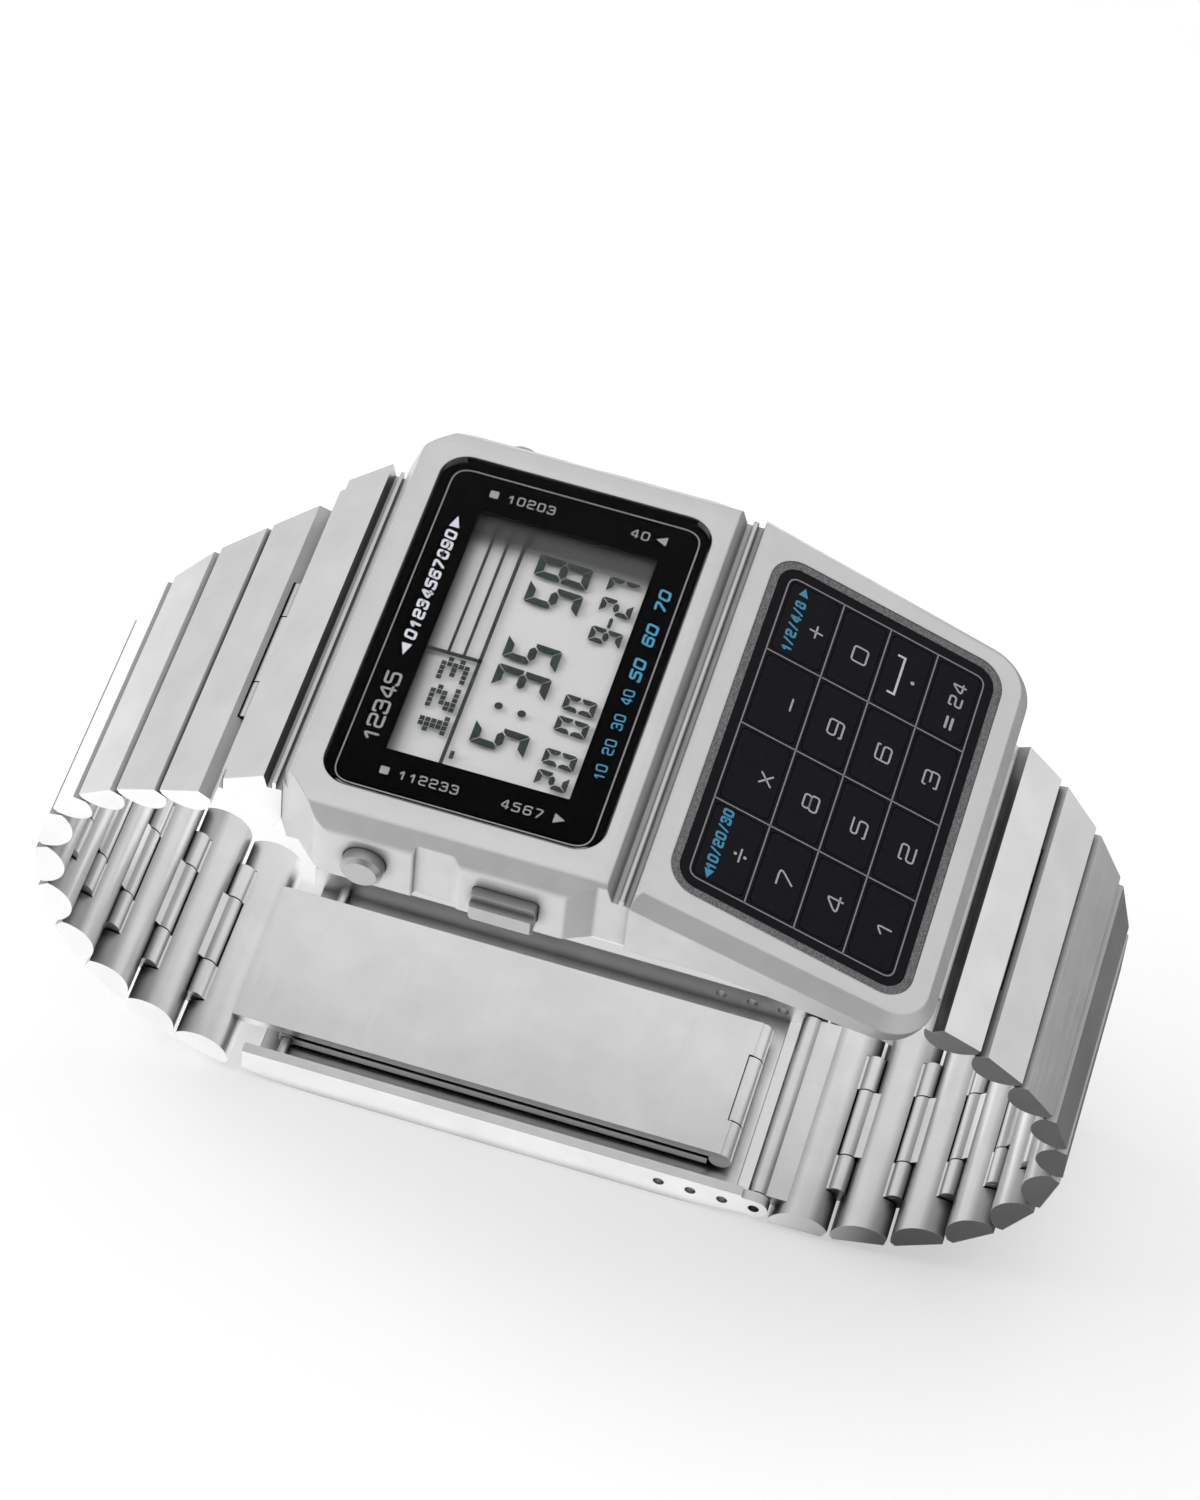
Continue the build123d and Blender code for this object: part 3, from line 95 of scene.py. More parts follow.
# The display: heights of its layers and sizes of its outline
MASK_TOP = -(GLASS_HIGH.z - GLASS_LOW.z) / MM
MASK_PRINT = (MASK_TOP - 0.004, MASK_TOP + 0.010)
LCD_TOP = (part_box("lcd_panel")[1].z - ORIGIN.z) / MM
LCD_PLATE_TOP = -1.42
LCD_PLATE = (LCD_TOP + 0.01, LCD_PLATE_TOP)
LCD_PRINT = (LCD_PLATE_TOP - 0.12, LCD_PLATE_TOP - 0.10)
LCD_PLATE_HALF = (11.5, 7.3)
LCD_PLATE_CORNER = 0.1
GLASS_CORNER = 2.0
OUTLINE_HALF = (13.84, 8.83)
OUTLINE_CORNER = 1.35
OUTLINE_WIDTH = 0.09
# The glass's rim from its underside up: inset and height
COVER_RINGS = ((0.03, MASK_TOP - 0.03), (0, MASK_TOP), (0, -0.16), (0.05, -0.05), (0.16, 0))

# The keypad's plane, grid and legends
KEYPAD_TILT = math.radians(20.38)
KEYPAD_START = (0, -15.36, -1.40)
KEYPAD_PRINT = (-0.006, 0.012)
GRID_HALF = 12.974
GRID_COLUMN = 6.487
GRID_ROWS = (0, -4.227, -7.931, -11.659, -15.401)
GRID_CORNER = 0.8
GRID_LINE = 0.105
DIGIT_SIZE = (1.24, 1.08)
DIGIT_LINE = 0.135
DIGIT_SHIFT = -0.05
DIGIT_DROP = 0.3
SIGN_V = -2.95


def at(x, y, z):
    """A place of the object, in metres."""
    return ORIGIN + Vector((x, y, z)) * MM


class Face:
    """A flat face that prints lie on: u to the right, v up and h out of it, in millimetres."""

    def __init__(self, start, up, out):
        self.start, self.up, self.out = Vector(start), Vector(up), Vector(out)

    def place(self, u, v, h):
        return at(*(self.start + Vector((u, 0, 0)) + self.up * v + self.out * h))


TILT_COS, TILT_SIN = math.cos(KEYPAD_TILT), math.sin(KEYPAD_TILT)
DISPLAY = Face((0, 0, 0), (0, 1, 0), (0, 0, 1))
KEYPAD = Face(KEYPAD_START, (0, TILT_COS, TILT_SIN), (0, -TILT_SIN, TILT_COS))


# Nodes

MIX_SHARE, MIX_FIRST, MIX_SECOND, MIX_RESULT = 0, 6, 7, 2  # the colour sockets of a Mix node
NOISE_LOW, NOISE_HIGH = 0.3, 0.7  # nearly all of a noise lies between these


def feed(tree, socket, value):
    """Links a node's output to a socket, or sets the socket to a plain value."""
    if isinstance(value, bpy.types.NodeSocket):
        tree.links.new(value, socket)
    else:
        socket.default_value = value


def operate(tree, kind, operation, *values):
    """The result of a Math or VectorMath node."""
    made = tree.nodes.new("ShaderNode" + kind)
    made.operation = operation
    for socket, value in zip(made.inputs, values):
        feed(tree, socket, value)
    return made.outputs["Value"]


def remap(tree, value, low, high, first, last):
    """A value between low and high, turned into one between first and last."""
    made = tree.nodes.new("ShaderNodeMapRange")
    inputs = {"Value": value, "From Min": low, "From Max": high, "To Min": first, "To Max": last}
    for key, number in inputs.items():
        feed(tree, made.inputs[key], number)
    return made.outputs["Result"]


def grey(value):
    return (value, value, value)


def shades(colour, spread):
    """A darker and a lighter shade of a colour."""
    return [tuple(c * (1 - spread) for c in colour), tuple(min(1, c * (1 + spread)) for c in colour)]


class Nodes:
    """A material with one Principled shader, and short calls for the nodes that feed it."""

    def __init__(self, name, colour, roughness, metallic=0.0, **inputs):
        self.base, self.dullness = colour, roughness
        self.material = bpy.data.materials.new(name)
        self.material.use_nodes = True
        self.tree = self.material.node_tree
        self.shader = self.tree.nodes["Principled BSDF"]
        self.set("Base Color", (*colour, 1))
        self.set("Roughness", roughness)
        self.set("Metallic", metallic)
        for key, value in inputs.items():
            self.set(key.replace("_", " "), value)
        coordinates = self.tree.nodes.new("ShaderNodeTexCoord").outputs
        self.place, self.normal = coordinates["Object"], coordinates["Normal"]

    def set(self, goal, value):
        """Feeds an input of the shader."""
        feed(self.tree, self.shader.inputs[goal], value)

    def node(self, kind, settings=None, **inputs):
        made = self.tree.nodes.new("ShaderNode" + kind)
        for key, value in (settings or {}).items():
            setattr(made, key, value)
        for key, value in inputs.items():
            feed(self.tree, made.inputs[key.replace("_", " ")], value)
        return made

    def stretched(self, scale):
        """The object's coordinates, stretched by a number on each axis."""
        return self.node("Mapping", Vector=self.place, Scale=scale).outputs["Vector"]

    def noise(self, scale, detail=3.0, roughness=0.55, vector=None):
        vector = vector or self.place
        made = self.node("TexNoise", Vector=vector, Scale=scale, Detail=detail, Roughness=roughness)
        return made.outputs["Fac"]

    def cells(self, scale, feature):
        made = self.node("TexVoronoi", {"feature": feature}, Vector=self.place, Scale=scale)
        return made.outputs["Distance"]

    def span(self, value, low, high, first, last):
        return remap(self.tree, value, low, high, first, last)

    def ramp(self, value, stops):
        """A colour between stops of place and colour."""
        made = self.node("ValToRGB", Fac=value)
        elements = made.color_ramp.elements
        elements[0].position, elements[1].position = stops[0][0], stops[-1][0]
        for position, _ in stops[1:-1]:
            elements.new(position)
        for element, (_, colour) in zip(elements, stops):
            element.color = (*colour, 1)
        return made.outputs["Color"]

    def tone(self, value, stops):
        """A grey between stops of place and brightness."""
        return self.ramp(value, [(position, grey(level)) for position, level in stops])

    def shade(self, value, spread, low=NOISE_LOW, high=NOISE_HIGH):
        """A colour between a darker and a lighter shade of the material's own."""
        dark, light = shades(self.base, spread)
        return self.ramp(value, [(low, dark), (high, light)])

    def vary(self, value, spread, high=NOISE_HIGH):
        """A number that lies around the material's roughness."""
        return self.span(value, NOISE_LOW, high, self.dullness - spread, self.dullness + spread)

    def add(self, one, two, share=1.0):
        """The first value with a share of the second one added."""
        return operate(self.tree, "Math", "MULTIPLY_ADD", two, share, one)

    def mix(self, share, first, second, blend="MIX"):
        """Two colours mixed by a share."""
        made = self.node("Mix", {"data_type": "RGBA", "blend_type": blend})
        for index, value in ((MIX_SHARE, share), (MIX_FIRST, first), (MIX_SECOND, second)):
            feed(self.tree, made.inputs[index], value)
        return made.outputs[MIX_RESULT]

    def times(self, one, two):
        """The product of two colours."""
        return self.mix(1.0, one, two, "MULTIPLY")

    def painted_gap_shade(self, socket, reach, deepest):
        """A colour with painted shade that darkens it in narrow gaps and corners, within a reach in
        millimetres.
        """
        hidden = self.node("AmbientOcclusion", {"samples": 6}, Distance=reach * MM).outputs["AO"]
        stops = [(0.30, deepest), (0.62, 0.4 + 0.6 * deepest), (0.90, 1)]
        return self.times(socket, self.tone(hidden, stops))

    def leaning(self, way):
        """How far a face leans along a direction of the object, from zero to one."""
        facing = operate(self.tree, "VectorMath", "DOT_PRODUCT", self.normal, way)
        return operate(self.tree, "Math", "ABSOLUTE", facing)

    def bump(self, height, distance, strength, edge=0.0):
        """Relief of a height map, over edges softened by a radius, both in millimetres."""
        made = self.node("Bump", Height=height, Distance=distance * MM, Strength=strength)
        if edge:
            soft = self.node("Bevel", {"samples": 4}, Radius=edge * MM)
            self.tree.links.new(soft.outputs["Normal"], made.inputs["Normal"])
        self.set("Normal", made.outputs["Normal"])


# Materials

GRAIN_ACROSS = (180, 9000, 9000)
GRAIN_LENGTHWAYS = (9000, 140, 9000)
STEEL_EDGE = 0.05
# Reach in millimetres of the painted shade in the steel's gaps and corners
STEEL_SHADE_REACH = 1.2
# Painted shade on steel faces that lean towards the next bars
BEVEL_SHADE_TONES = ((0.25, 1), (0.5, 0.6))  # lean of a face and its brightness
END_LEAN = 0.1  # a bar's ends lean more than this along X
# How the bezel shades the display: axis, start and end in metres, and stops of place and tone
DISPLAY_SHADES = (
    ("X", 5.4 * MM, 11.4 * MM,
     ((0, 1), (0.30, 0.97), (0.42, 0.80), (0.50, 0.52), (0.58, 0.20), (0.66, 0.09), (1, 0.08))),
    ("Y", ORIGIN.y + 4.2 * MM, ORIGIN.y + 6.2 * MM,
     ((0, 1), (0.35, 0.90), (0.60, 0.72), (0.80, 0.42), (1, 0.18))),
)


def satin_plating(name, colour, roughness, metallic, edge, reach=0.9):
    """Resin with a satin silver plating: a faint mottle, painted shade in gaps and corners, fine orange peel
    and rubbed edges.
    """
    m = Nodes(name, colour, roughness, metallic)
    m.set("Base Color", m.painted_gap_shade(m.shade(m.noise(350, 4), 0.03), reach, 0.42))
    m.set("Roughness", m.vary(m.noise(900), 0.05))
    m.bump(m.noise(5200, 2), 0.0022, 0.6, edge)
    return m.material


def satin_steel(name, colour, roughness, stretch=GRAIN_ACROSS, deepest=0.35, way=None):
    """Steel with a fine grain along one axis, faintly cloudy, with painted shade in gaps and on faces that
    lean a given way.
    """
    m = Nodes(name, colour, roughness, 1.0)
    grain = m.noise(1.0, 3, 0.6, m.stretched(stretch))
    cloudy = m.shade(m.add(m.noise(260), grain, 0.25), 0.07, 0.35, 0.9)
    satin_and_shade = m.painted_gap_shade(cloudy, STEEL_SHADE_REACH, deepest)
    if way:
        satin_and_shade = m.times(satin_and_shade, m.tone(m.leaning(way), BEVEL_SHADE_TONES))
    m.set("Base Color", satin_and_shade)
    m.set("Roughness", m.vary(grain, 0.06))
    m.bump(grain, 0.0015, 0.5, STEEL_EDGE)
    return m.material


def bar_steel(name, node):
    """The steel of one bracelet bar, with painted shade on the bevels that face the next bars."""
    flats = [face for face in node.data.polygons if abs(face.normal.x) < END_LEAN]
    top = max(flats, key=lambda face: face.area).normal
    way = (0, -top.z, top.y)
    return satin_steel("steel_" + name, (0.70, 0.70, 0.705), 0.34, deepest=0.42, way=way)


def pitted_film(name, colour):
    """Black film with a fine leather grain: flat pits between low ridges."""
    m = Nodes(name, colour, 0.46, Specular_IOR_Level=0.09)
    grain = m.add(m.noise(3400, 3, 0.6), m.cells(2600, "SMOOTH_F1"), 0.5)
    m.set("Base Color", m.shade(m.noise(1600), 0.25, high=0.75))
    m.set("Roughness", m.vary(grain, 0.10, high=0.9))
    m.bump(grain, 0.02, 0.55)
    return m.material


def speckled(name, colour):
    """Print with fine lighter and darker specks."""
    m = Nodes(name, colour, 0.5)
    specks = m.noise(7000, 2, 0.7)
    dark, light = shades(colour, 0.55)
    m.set("Base Color", m.ramp(specks, [(0.36, dark), (0.5, colour), (0.64, light)]))
    m.bump(specks, 0.006, 0.5)
    return m.material


def gloss(name, colour, roughness):
    """Gloss print under glass, with a faint waviness and no shine of its own."""
    m = Nodes(name, colour, roughness, Specular_IOR_Level=0.0)
    m.set("Base Color", m.shade(m.noise(900), 0.12, 0.35, 0.65))
    m.set("Roughness", m.vary(m.noise(1500), roughness * 0.2))
    m.bump(m.noise(700, 2), 0.0004, 0.2)
    return m.material


def ink(name, colour, roughness=0.5):
    """Printed ink, a little uneven in cover."""
    m = Nodes(name, colour, roughness)
    m.set("Base Color", m.shade(m.noise(9000), 0.14))
    m.set("Roughness", m.vary(m.noise(4000, 2), 0.08))
    m.bump(m.noise(9000, 2), 0.003, 0.4)
    return m.material


def matt(name, colour, roughness=0.6):
    """Plain moulded plastic or rubber with a fine grain."""
    m = Nodes(name, colour, roughness)
    m.set("Base Color", m.shade(m.noise(1000), 0.08))
    m.set("Roughness", m.vary(m.noise(3000), 0.06))
    m.bump(m.noise(3000, 2), 0.004, 0.5)
    return m.material


def board(name):
    """Green circuit board: lacquer over lighter copper paths."""
    m = Nodes(name, (0.03, 0.16, 0.07), 0.3)
    paths = m.cells(900, "DISTANCE_TO_EDGE")
    m.set("Base Color", m.ramp(paths, [(0.02, (0.10, 0.32, 0.14)), (0.07, (0.03, 0.15, 0.07))]))
    m.set("Roughness", m.vary(m.noise(2500, 2), 0.06))
    m.bump(paths, 0.01, 0.4)
    return m.material


def clear_glass(name, tint):
    """Clear glass that lets the lamps' light through to what lies behind it."""
    m = Nodes(name, tint, 0.0, Transmission_Weight=1.0, IOR=1.5, Specular_Tint=(*grey(0.02), 1))
    m.set("Roughness", m.span(m.noise(500, 2), NOISE_LOW, NOISE_HIGH, 0.004, 0.02))
    shadow = m.node("LightPath").outputs["Is Shadow Ray"]
    through = m.node("BsdfTransparent", Color=(*tint, 1)).outputs[0]
    mix = m.node("MixShader")
    for socket, output in zip(mix.inputs, (shadow, m.shader.outputs[0], through)):
        m.tree.links.new(output, socket)
    m.tree.links.new(mix.outputs[0], m.tree.nodes["Material Output"].inputs["Surface"])
    return m.material


def reflector(name, colour):
    """The display's grey reflector: a fine sparkle, darker where the bezel shades its far sides."""
    m = Nodes(name, colour, 0.42, Specular_IOR_Level=0.1)
    place = m.node("SeparateXYZ", Vector=m.place).outputs
    sparkle = m.noise(9000, 2)
    shaded = m.ramp(sparkle, [(NOISE_LOW, shades(colour, 0.04)[0]), (NOISE_HIGH, colour)])
    for axis, start, end, stops in DISPLAY_SHADES:
        shaded = m.times(shaded, m.tone(m.span(place[axis], start, end, 0, 1), stops))
    m.set("Base Color", shaded)
    m.bump(sparkle, 0.002, 0.3)
    return m.material


PLATING = satin_plating("satin_plating", (0.62, 0.62, 0.625), 0.42, 0.55, 0.2)
# Its wide reach spreads painted shade over the buttons where they sit in the case's recesses
BUTTON_PLATING = satin_plating("button_plating", (0.42, 0.42, 0.425), 0.38, 0.7, 0.05, 2.6)
STEEL = satin_steel("bracelet_satin_steel", (0.71, 0.71, 0.715), 0.34)
BACK_STEEL = satin_steel("brushed_back_steel", (0.52, 0.52, 0.53), 0.30, GRAIN_LENGTHWAYS)
GLASS = clear_glass("display_glass_clear", (0.985, 0.985, 0.985))
LCD_GLASS = clear_glass("lcd_plate_clear", (0.965, 0.965, 0.965))
MASK = gloss("black_mask_print", (0.0005, 0.0005, 0.0006), 0.2)
REFLECTOR = reflector("lcd_reflector", (0.56, 0.555, 0.555))
FILM = pitted_film("pitted_black_film", (0.0046, 0.0046, 0.0062))
BORDER = speckled("speckled_grey_border", (0.135, 0.135, 0.14))
RESIN = matt("white_module_resin", (0.74, 0.74, 0.71))
RUBBER = matt("dark_contact_rubber", (0.05, 0.05, 0.052), 0.7)
BOARD = board("green_circuit_board")
LINE_INK = ink("grey_line_ink", (0.23, 0.23, 0.24))
LEGEND_INK = ink("light_legend_ink", (0.42, 0.42, 0.43))
BLUE_INK = ink("blue_legend_ink", (0.045, 0.27, 0.45))
WHITE_INK = ink("white_mask_ink", (0.62, 0.63, 0.68))
GREY_INK = ink("grey_mask_ink", (0.30, 0.30, 0.31))
SILVER_INK = ink("silver_outline_ink", (0.27, 0.27, 0.275), 0.4)
SEGMENT = ink("dark_lcd_segment", (0.012, 0.022, 0.016), 0.6)

NODE_MATERIALS = {
    "case_shell": PLATING,
    "display_glass": GLASS,
    "display_mask": MASK,
    "lcd_panel": REFLECTOR,
    "module_frame": RESIN,
    "main_board": BOARD,
    "battery": BACK_STEEL,
    "keypad_bezel": BORDER,
    "contact_sheet": RUBBER,
    "keypad_board": BOARD,
    "case_back": BACK_STEEL,
    "case_back_gasket": RUBBER,
    "case_back_screws": BACK_STEEL,
    "lug_bars": BACK_STEEL,
}
FAMILY_MATERIALS = (("key_", FILM), ("button_", BUTTON_PLATING))
BAR_FAMILIES = ("upper_link_", "lower_link_")


def node_material(name, node):
    """The material of a CAD node."""
    if name in NODE_MATERIALS:
        return NODE_MATERIALS[name]
    if name.startswith(BAR_FAMILIES):
        return bar_steel(name, node)
    for start, material in FAMILY_MATERIALS:
        if name.startswith(start):
            return material
    return STEEL


for node_name, cad_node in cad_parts.items():
    cad_node.data.materials.clear()
    cad_node.data.materials.append(node_material(node_name, cad_node))


# Flat printed shapes, as lists of faces in the plane of a Face

ARC_STEPS = 5
ARC_REACH = 0.49  # of a side, so that the arcs at its two ends stay apart
BOX_ARC_STEPS = 6
CAP_STEPS = 6
DISC_STEPS = 20
MITRE_LEAST = 0.5  # keeps the outer corner of a sharp bend near its line
DIGIT_CORNER = 0.22  # radius of a digit's corners, as a share of its height
MERGE_DECIMALS = 5


def soften(points, radius, closed=False, steps=ARC_STEPS):
    """A line of points with each inner corner turned into an arc."""
    soft = []
    count = len(points)
    for index, corner in enumerate(points):
        corner = Vector(corner)
        if not closed and index in (0, count - 1):
            soft.append(corner)
            continue
        before = Vector(points[index - 1]) - corner
        after = Vector(points[(index + 1) % count]) - corner
        half = before.angle(after) / 2
        reach = min(radius / math.tan(half), before.length * ARC_REACH, after.length * ARC_REACH)
        first = corner + before.normalized() * reach
        last = corner + after.normalized() * reach
        for step in range(steps + 1):
            share = step / steps
            soft.append(first * (1 - share) ** 2 + corner * 2 * share * (1 - share) + last * share ** 2)
    return soft


def stroke(points, width, closed=False):
    """Faces of a flat line of one width along points, with round ends if it is open."""
    count = len(points)
    left, right = [], []
    for index, point in enumerate(points):
        back = points[index - 1] if closed or index else point
        ahead = points[(index + 1) % count] if closed or index < count - 1 else point
        along_in = (point - back) if (point - back).length else (ahead - point)
        along_out = (ahead - point) if (ahead - point).length else (point - back)
        side = (along_in.normalized() + along_out.normalized()).normalized()
        side = Vector((-side.y, side.x))
        share = max(MITRE_LEAST, side.dot(Vector((-along_in.y, along_in.x)).normalized()))
        left.append(point + side * (width / 2 / share))
        right.append(point - side * (width / 2 / share))
    faces = []
    for index in range(count if closed else count - 1):
        following = (index + 1) % count
        faces.append([right[index], right[following], left[following], left[index]])
    if not closed:
        for end, first, last in ((points[0], left[0], right[0]), (points[-1], right[-1], left[-1])):
            arm = first - end
            turns = [Matrix.Rotation(math.pi * step / CAP_STEPS, 2) for step in range(1, CAP_STEPS)]
            faces.append([first, *(end + turn @ arm for turn in turns), last])
    return faces


def line(x0, y0, x1, y1, width):
    return stroke([Vector((x0, y0)), Vector((x1, y1))], width)


def patch(*corners):
    """One face between corners."""
    return [[Vector(corner) for corner in corners]]


def arrow_across(x, y, reach, half):
    """An arrowhead that points along X by its reach."""
    return patch((x, y - half), (x + reach, y), (x, y + half))


def arrow_up(x, y, reach, half):
    """An arrowhead that points along Y by its reach."""
    return patch((x - half, y), (x + half, y), (x, y + reach))


def disc(x, y, radius):
    """One face of a round dot."""
    turns = [2 * math.pi * step / DISC_STEPS for step in range(DISC_STEPS)]
    return patch(*((x + radius * math.cos(a), y + radius * math.sin(a)) for a in turns))


def rounded_box(x0, x1, y0, y1, radius):
    """Points around a box with round corners."""
    return soften([(x0, y0), (x1, y0), (x1, y1), (x0, y1)], radius, True, BOX_ARC_STEPS)


# Digits as lines in a box one wide and one high: (points, closed)
LINES = {
    "0": [([(0, 0), (1, 0), (1, 1), (0, 1)], True)],
    "1": [([(0.22, 0.62), (0.66, 1), (0.66, 0)], False)],
    "2": [([(0, 0.80), (0, 1), (1, 1), (1, 0.5), (0, 0.5), (0, 0), (1, 0)], False)],
    "3": [([(0, 0.82), (0, 1), (0.95, 1), (0.95, 0.53), (0.3, 0.53)], False),
          ([(0.9, 0.53), (1, 0.53), (1, 0), (0, 0), (0, 0.18)], False)],
    "4": [([(0.84, 0), (0.84, 1), (0.72, 1), (-0.10, 0.24), (1.08, 0.24)], False)],
    "5": [([(1, 1), (0.04, 1), (0.04, 0.58), (1, 0.58), (1, 0), (0, 0), (0, 0.12)], False)],
    "6": [([(1, 0.86), (1, 1), (0, 1), (0, 0), (1, 0), (1, 0.56), (0.05, 0.56)], False)],
    "7": [([(0, 1), (1.08, 1), (0.28, 0)], False)],
    "8": [([(0.06, 0.54), (0.94, 0.54), (0.94, 1), (0.06, 1)], True),
          ([(0, 0), (1, 0), (1, 0.54), (0, 0.54)], True)],
    "9": [([(0, 0.14), (0, 0), (1, 0), (1, 1), (0, 1), (0, 0.44), (0.95, 0.44)], False)],
}


def digit(text, x, y, size, width, slant=0.0):
    """Faces of a digit centred on a place, leaning by a share of its height."""
    wide, high = size
    faces = []
    for points, closed in LINES[text]:
        spread = []
        for a, b in points:
            rise = (b - 0.5) * high
            spread.append(((a - 0.5) * wide + rise * slant + x, rise + y))
        faces += stroke(soften(spread, DIGIT_CORNER * high, closed), width, closed)
    return faces


def digits(text, x, y, size, width, pitch, slant=0.0):
    """Faces of a row of digits and blanks from its first one's place."""
    faces = []
    for index, letter in enumerate(text):
        if letter != " ":
            faces += digit(letter, x + pitch * index, y, size, width, slant)
    return faces


def digits_down(text, x, y, size, width, pitch):
    """Faces of a row of digits that reads towards 6 o'clock, from its upper end."""
    level = digits(text, 0, 0, size, width, pitch)
    return [[Vector((x + point.y, y - point.x)) for point in face] for face in level]


def put(name, data):
    """A new object in the scene."""
    made = bpy.data.objects.new(name, data)
    bpy.context.scene.collection.objects.link(made)
    return made


def put_mesh(name, work, material):
    """A new object of one material from a bmesh, which is freed."""
    mesh = bpy.data.meshes.new(name)
    work.to_mesh(mesh)
    work.free()
    mesh.materials.append(material)
    return put(name, mesh)


def flat_piece(name, groups, face, heights, material, body):
    """A thin printed piece of flat faces between two heights over a face of the object."""
    low, high = heights
    places, outlines = {}, []
    for points in groups:
        outline = []
        for u, v in points:
            key = (round(u, MERGE_DECIMALS), round(v, MERGE_DECIMALS))
            places.setdefault(key, (u, v))
            if key not in outline:
                outline.append(key)
        if len(outline) > 2 and set(outline) not in map(set, outlines):
            outlines.append(outline)
    rims = [list(zip(outline, outline[1:] + outline[:1])) for outline in outlines]
    shared = Counter(frozenset(edge) for rim in rims for edge in rim)
    drop = face.place(0, 0, low) - face.place(0, 0, high)
    work = bmesh.new()
    upper, lower = {}, {}
    for key in dict.fromkeys(key for outline in outlines for key in outline):
        upper[key] = work.verts.new(face.place(*places[key], high))
        lower[key] = work.verts.new(upper[key].co + drop)
    for outline, rim in zip(outlines, rims):
        work.faces.new([upper[key] for key in outline])
        work.faces.new([lower[key] for key in reversed(outline)])
        for first, second in rim:
            if shared[frozenset((first, second))] == 1:
                work.faces.new((upper[first], lower[first], lower[second], upper[second]))
    bmesh.ops.recalc_face_normals(work, faces=work.faces[:])
    piece = put_mesh(name, work, material)
    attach(piece, body)


def key_print(name, faces, material, body):
    flat_piece(name, faces, KEYPAD, KEYPAD_PRINT, material, body)


def mask_print(name, faces, material):
    flat_piece(name, faces, DISPLAY, MASK_PRINT, material, "case")


def lcd_print(name, faces):
    flat_piece(name, faces, DISPLAY, LCD_PRINT, SEGMENT, "case")


# Keypad: grid lines, a legend on each key, and plain numbers and a space bar sign in place of words

KEY_ROWS = (
    ("divide", "multiply", "minus", "plus"),
    ("7", "8", "9", "0"),
    ("4", "5", "6", "point"),
    ("1", "2", "3", "equals"),
)
# Signs around a key's middle: strokes from one end to the other with a width, and dots with a radius
SIGN_STROKES = {
    "divide": ((-0.50, 0, 0.50, 0, DIGIT_LINE),),
    "multiply": ((-0.42, -0.42, 0.42, 0.42, DIGIT_LINE), (-0.42, 0.42, 0.42, -0.42, DIGIT_LINE)),
    "minus": ((-0.48, 0, 0.48, 0, DIGIT_LINE),),
    "plus": ((-0.48, 0, 0.48, 0, DIGIT_LINE), (0, -0.46, 0, 0.46, DIGIT_LINE)),
    "equals": ((-2.0, 0.2, -1.1, 0.2, 0.2), (-2.0, -0.2, -1.1, -0.2, 0.2)),
}
SIGN_DOTS = {
    "divide": ((0, 0.36, 0.12), (0, -0.36, 0.12)),
    "point": ((0, -0.42, 0.15),),
}
HOURS_START = 0.35  # of the number beside the equals sign
HOURS_STYLE = ((0.74, 0.90), 0.14, 1.12)  # size, line width and pitch

BLUE_V = -1.28
BLUE_SIZE = (0.40, 0.64)
BLUE_LINE = 0.17
BLUE_PITCH = 0.64
SLASH_HALF = (0.14, 0.34)
SLASH_LINE = 0.15
BLUE_TIP, BLUE_REACH, BLUE_HALF = 12.60, 0.72, 0.36
# The blue rows: key, side of the arrowhead, text and its first digit's place
BLUE_KEYS = (("divide", -1, "10/20/30", -11.62), ("plus", 1, "1/2/4/8", 7.30))
SPACE_BAR = ((8.1, -9.0), (8.1, -9.5), (11.3, -9.5), (11.3, -9.0))
SPACE_BAR_LINE = 0.17


def keypad_grid():
    top, bottom = GRID_ROWS[0], GRID_ROWS[-1]
    faces = stroke(rounded_box(-GRID_HALF, GRID_HALF, bottom, top, GRID_CORNER), GRID_LINE, True)
    for u in (-GRID_COLUMN, 0, GRID_COLUMN):
        faces += line(u, bottom, u, top, GRID_LINE)
    for v in GRID_ROWS[1:-1]:
        faces += line(-GRID_HALF, v, GRID_HALF, v, GRID_LINE)
    key_print("keypad_grid_lines", faces, LINE_INK, "case")


def sign_faces(name, x, y):
    """Faces of an arithmetic sign centred on a place."""
    faces = []
    for x0, y0, x1, y1, width in SIGN_STROKES.get(name, ()):
        faces += line(x + x0, y + y0, x + x1, y + y1, width)
    for dot_x, dot_y, radius in SIGN_DOTS.get(name, ()):
        faces += disc(x + dot_x, y + dot_y, radius)
    if name == "equals":
        faces += digits("24", x + HOURS_START, y, *HOURS_STYLE)
    return faces


def key_legends():
    for row, names in enumerate(KEY_ROWS):
        middle = (GRID_ROWS[row] + GRID_ROWS[row + 1]) / 2 - DIGIT_DROP
        for column, name in enumerate(names):
            u = GRID_COLUMN * (column - 1.5) + DIGIT_SHIFT
            if name.isdigit():
                faces = digit(name, u, middle, DIGIT_SIZE, DIGIT_LINE)
            else:
                faces = sign_faces(name, u, SIGN_V if row == 0 else middle)
            key_print("legend_" + name, faces, LEGEND_INK, "key_" + name)


def blue_row(text, start):
    """Faces of narrow digits with strokes between them."""
    faces = []
    for index, letter in enumerate(text):
        x = start + BLUE_PITCH * index
        if letter == "/":
            wide, high = SLASH_HALF
            faces += line(x - wide, BLUE_V - high, x + wide, BLUE_V + high, SLASH_LINE)
        else:
            faces += digit(letter, x, BLUE_V, BLUE_SIZE, BLUE_LINE)
    return faces


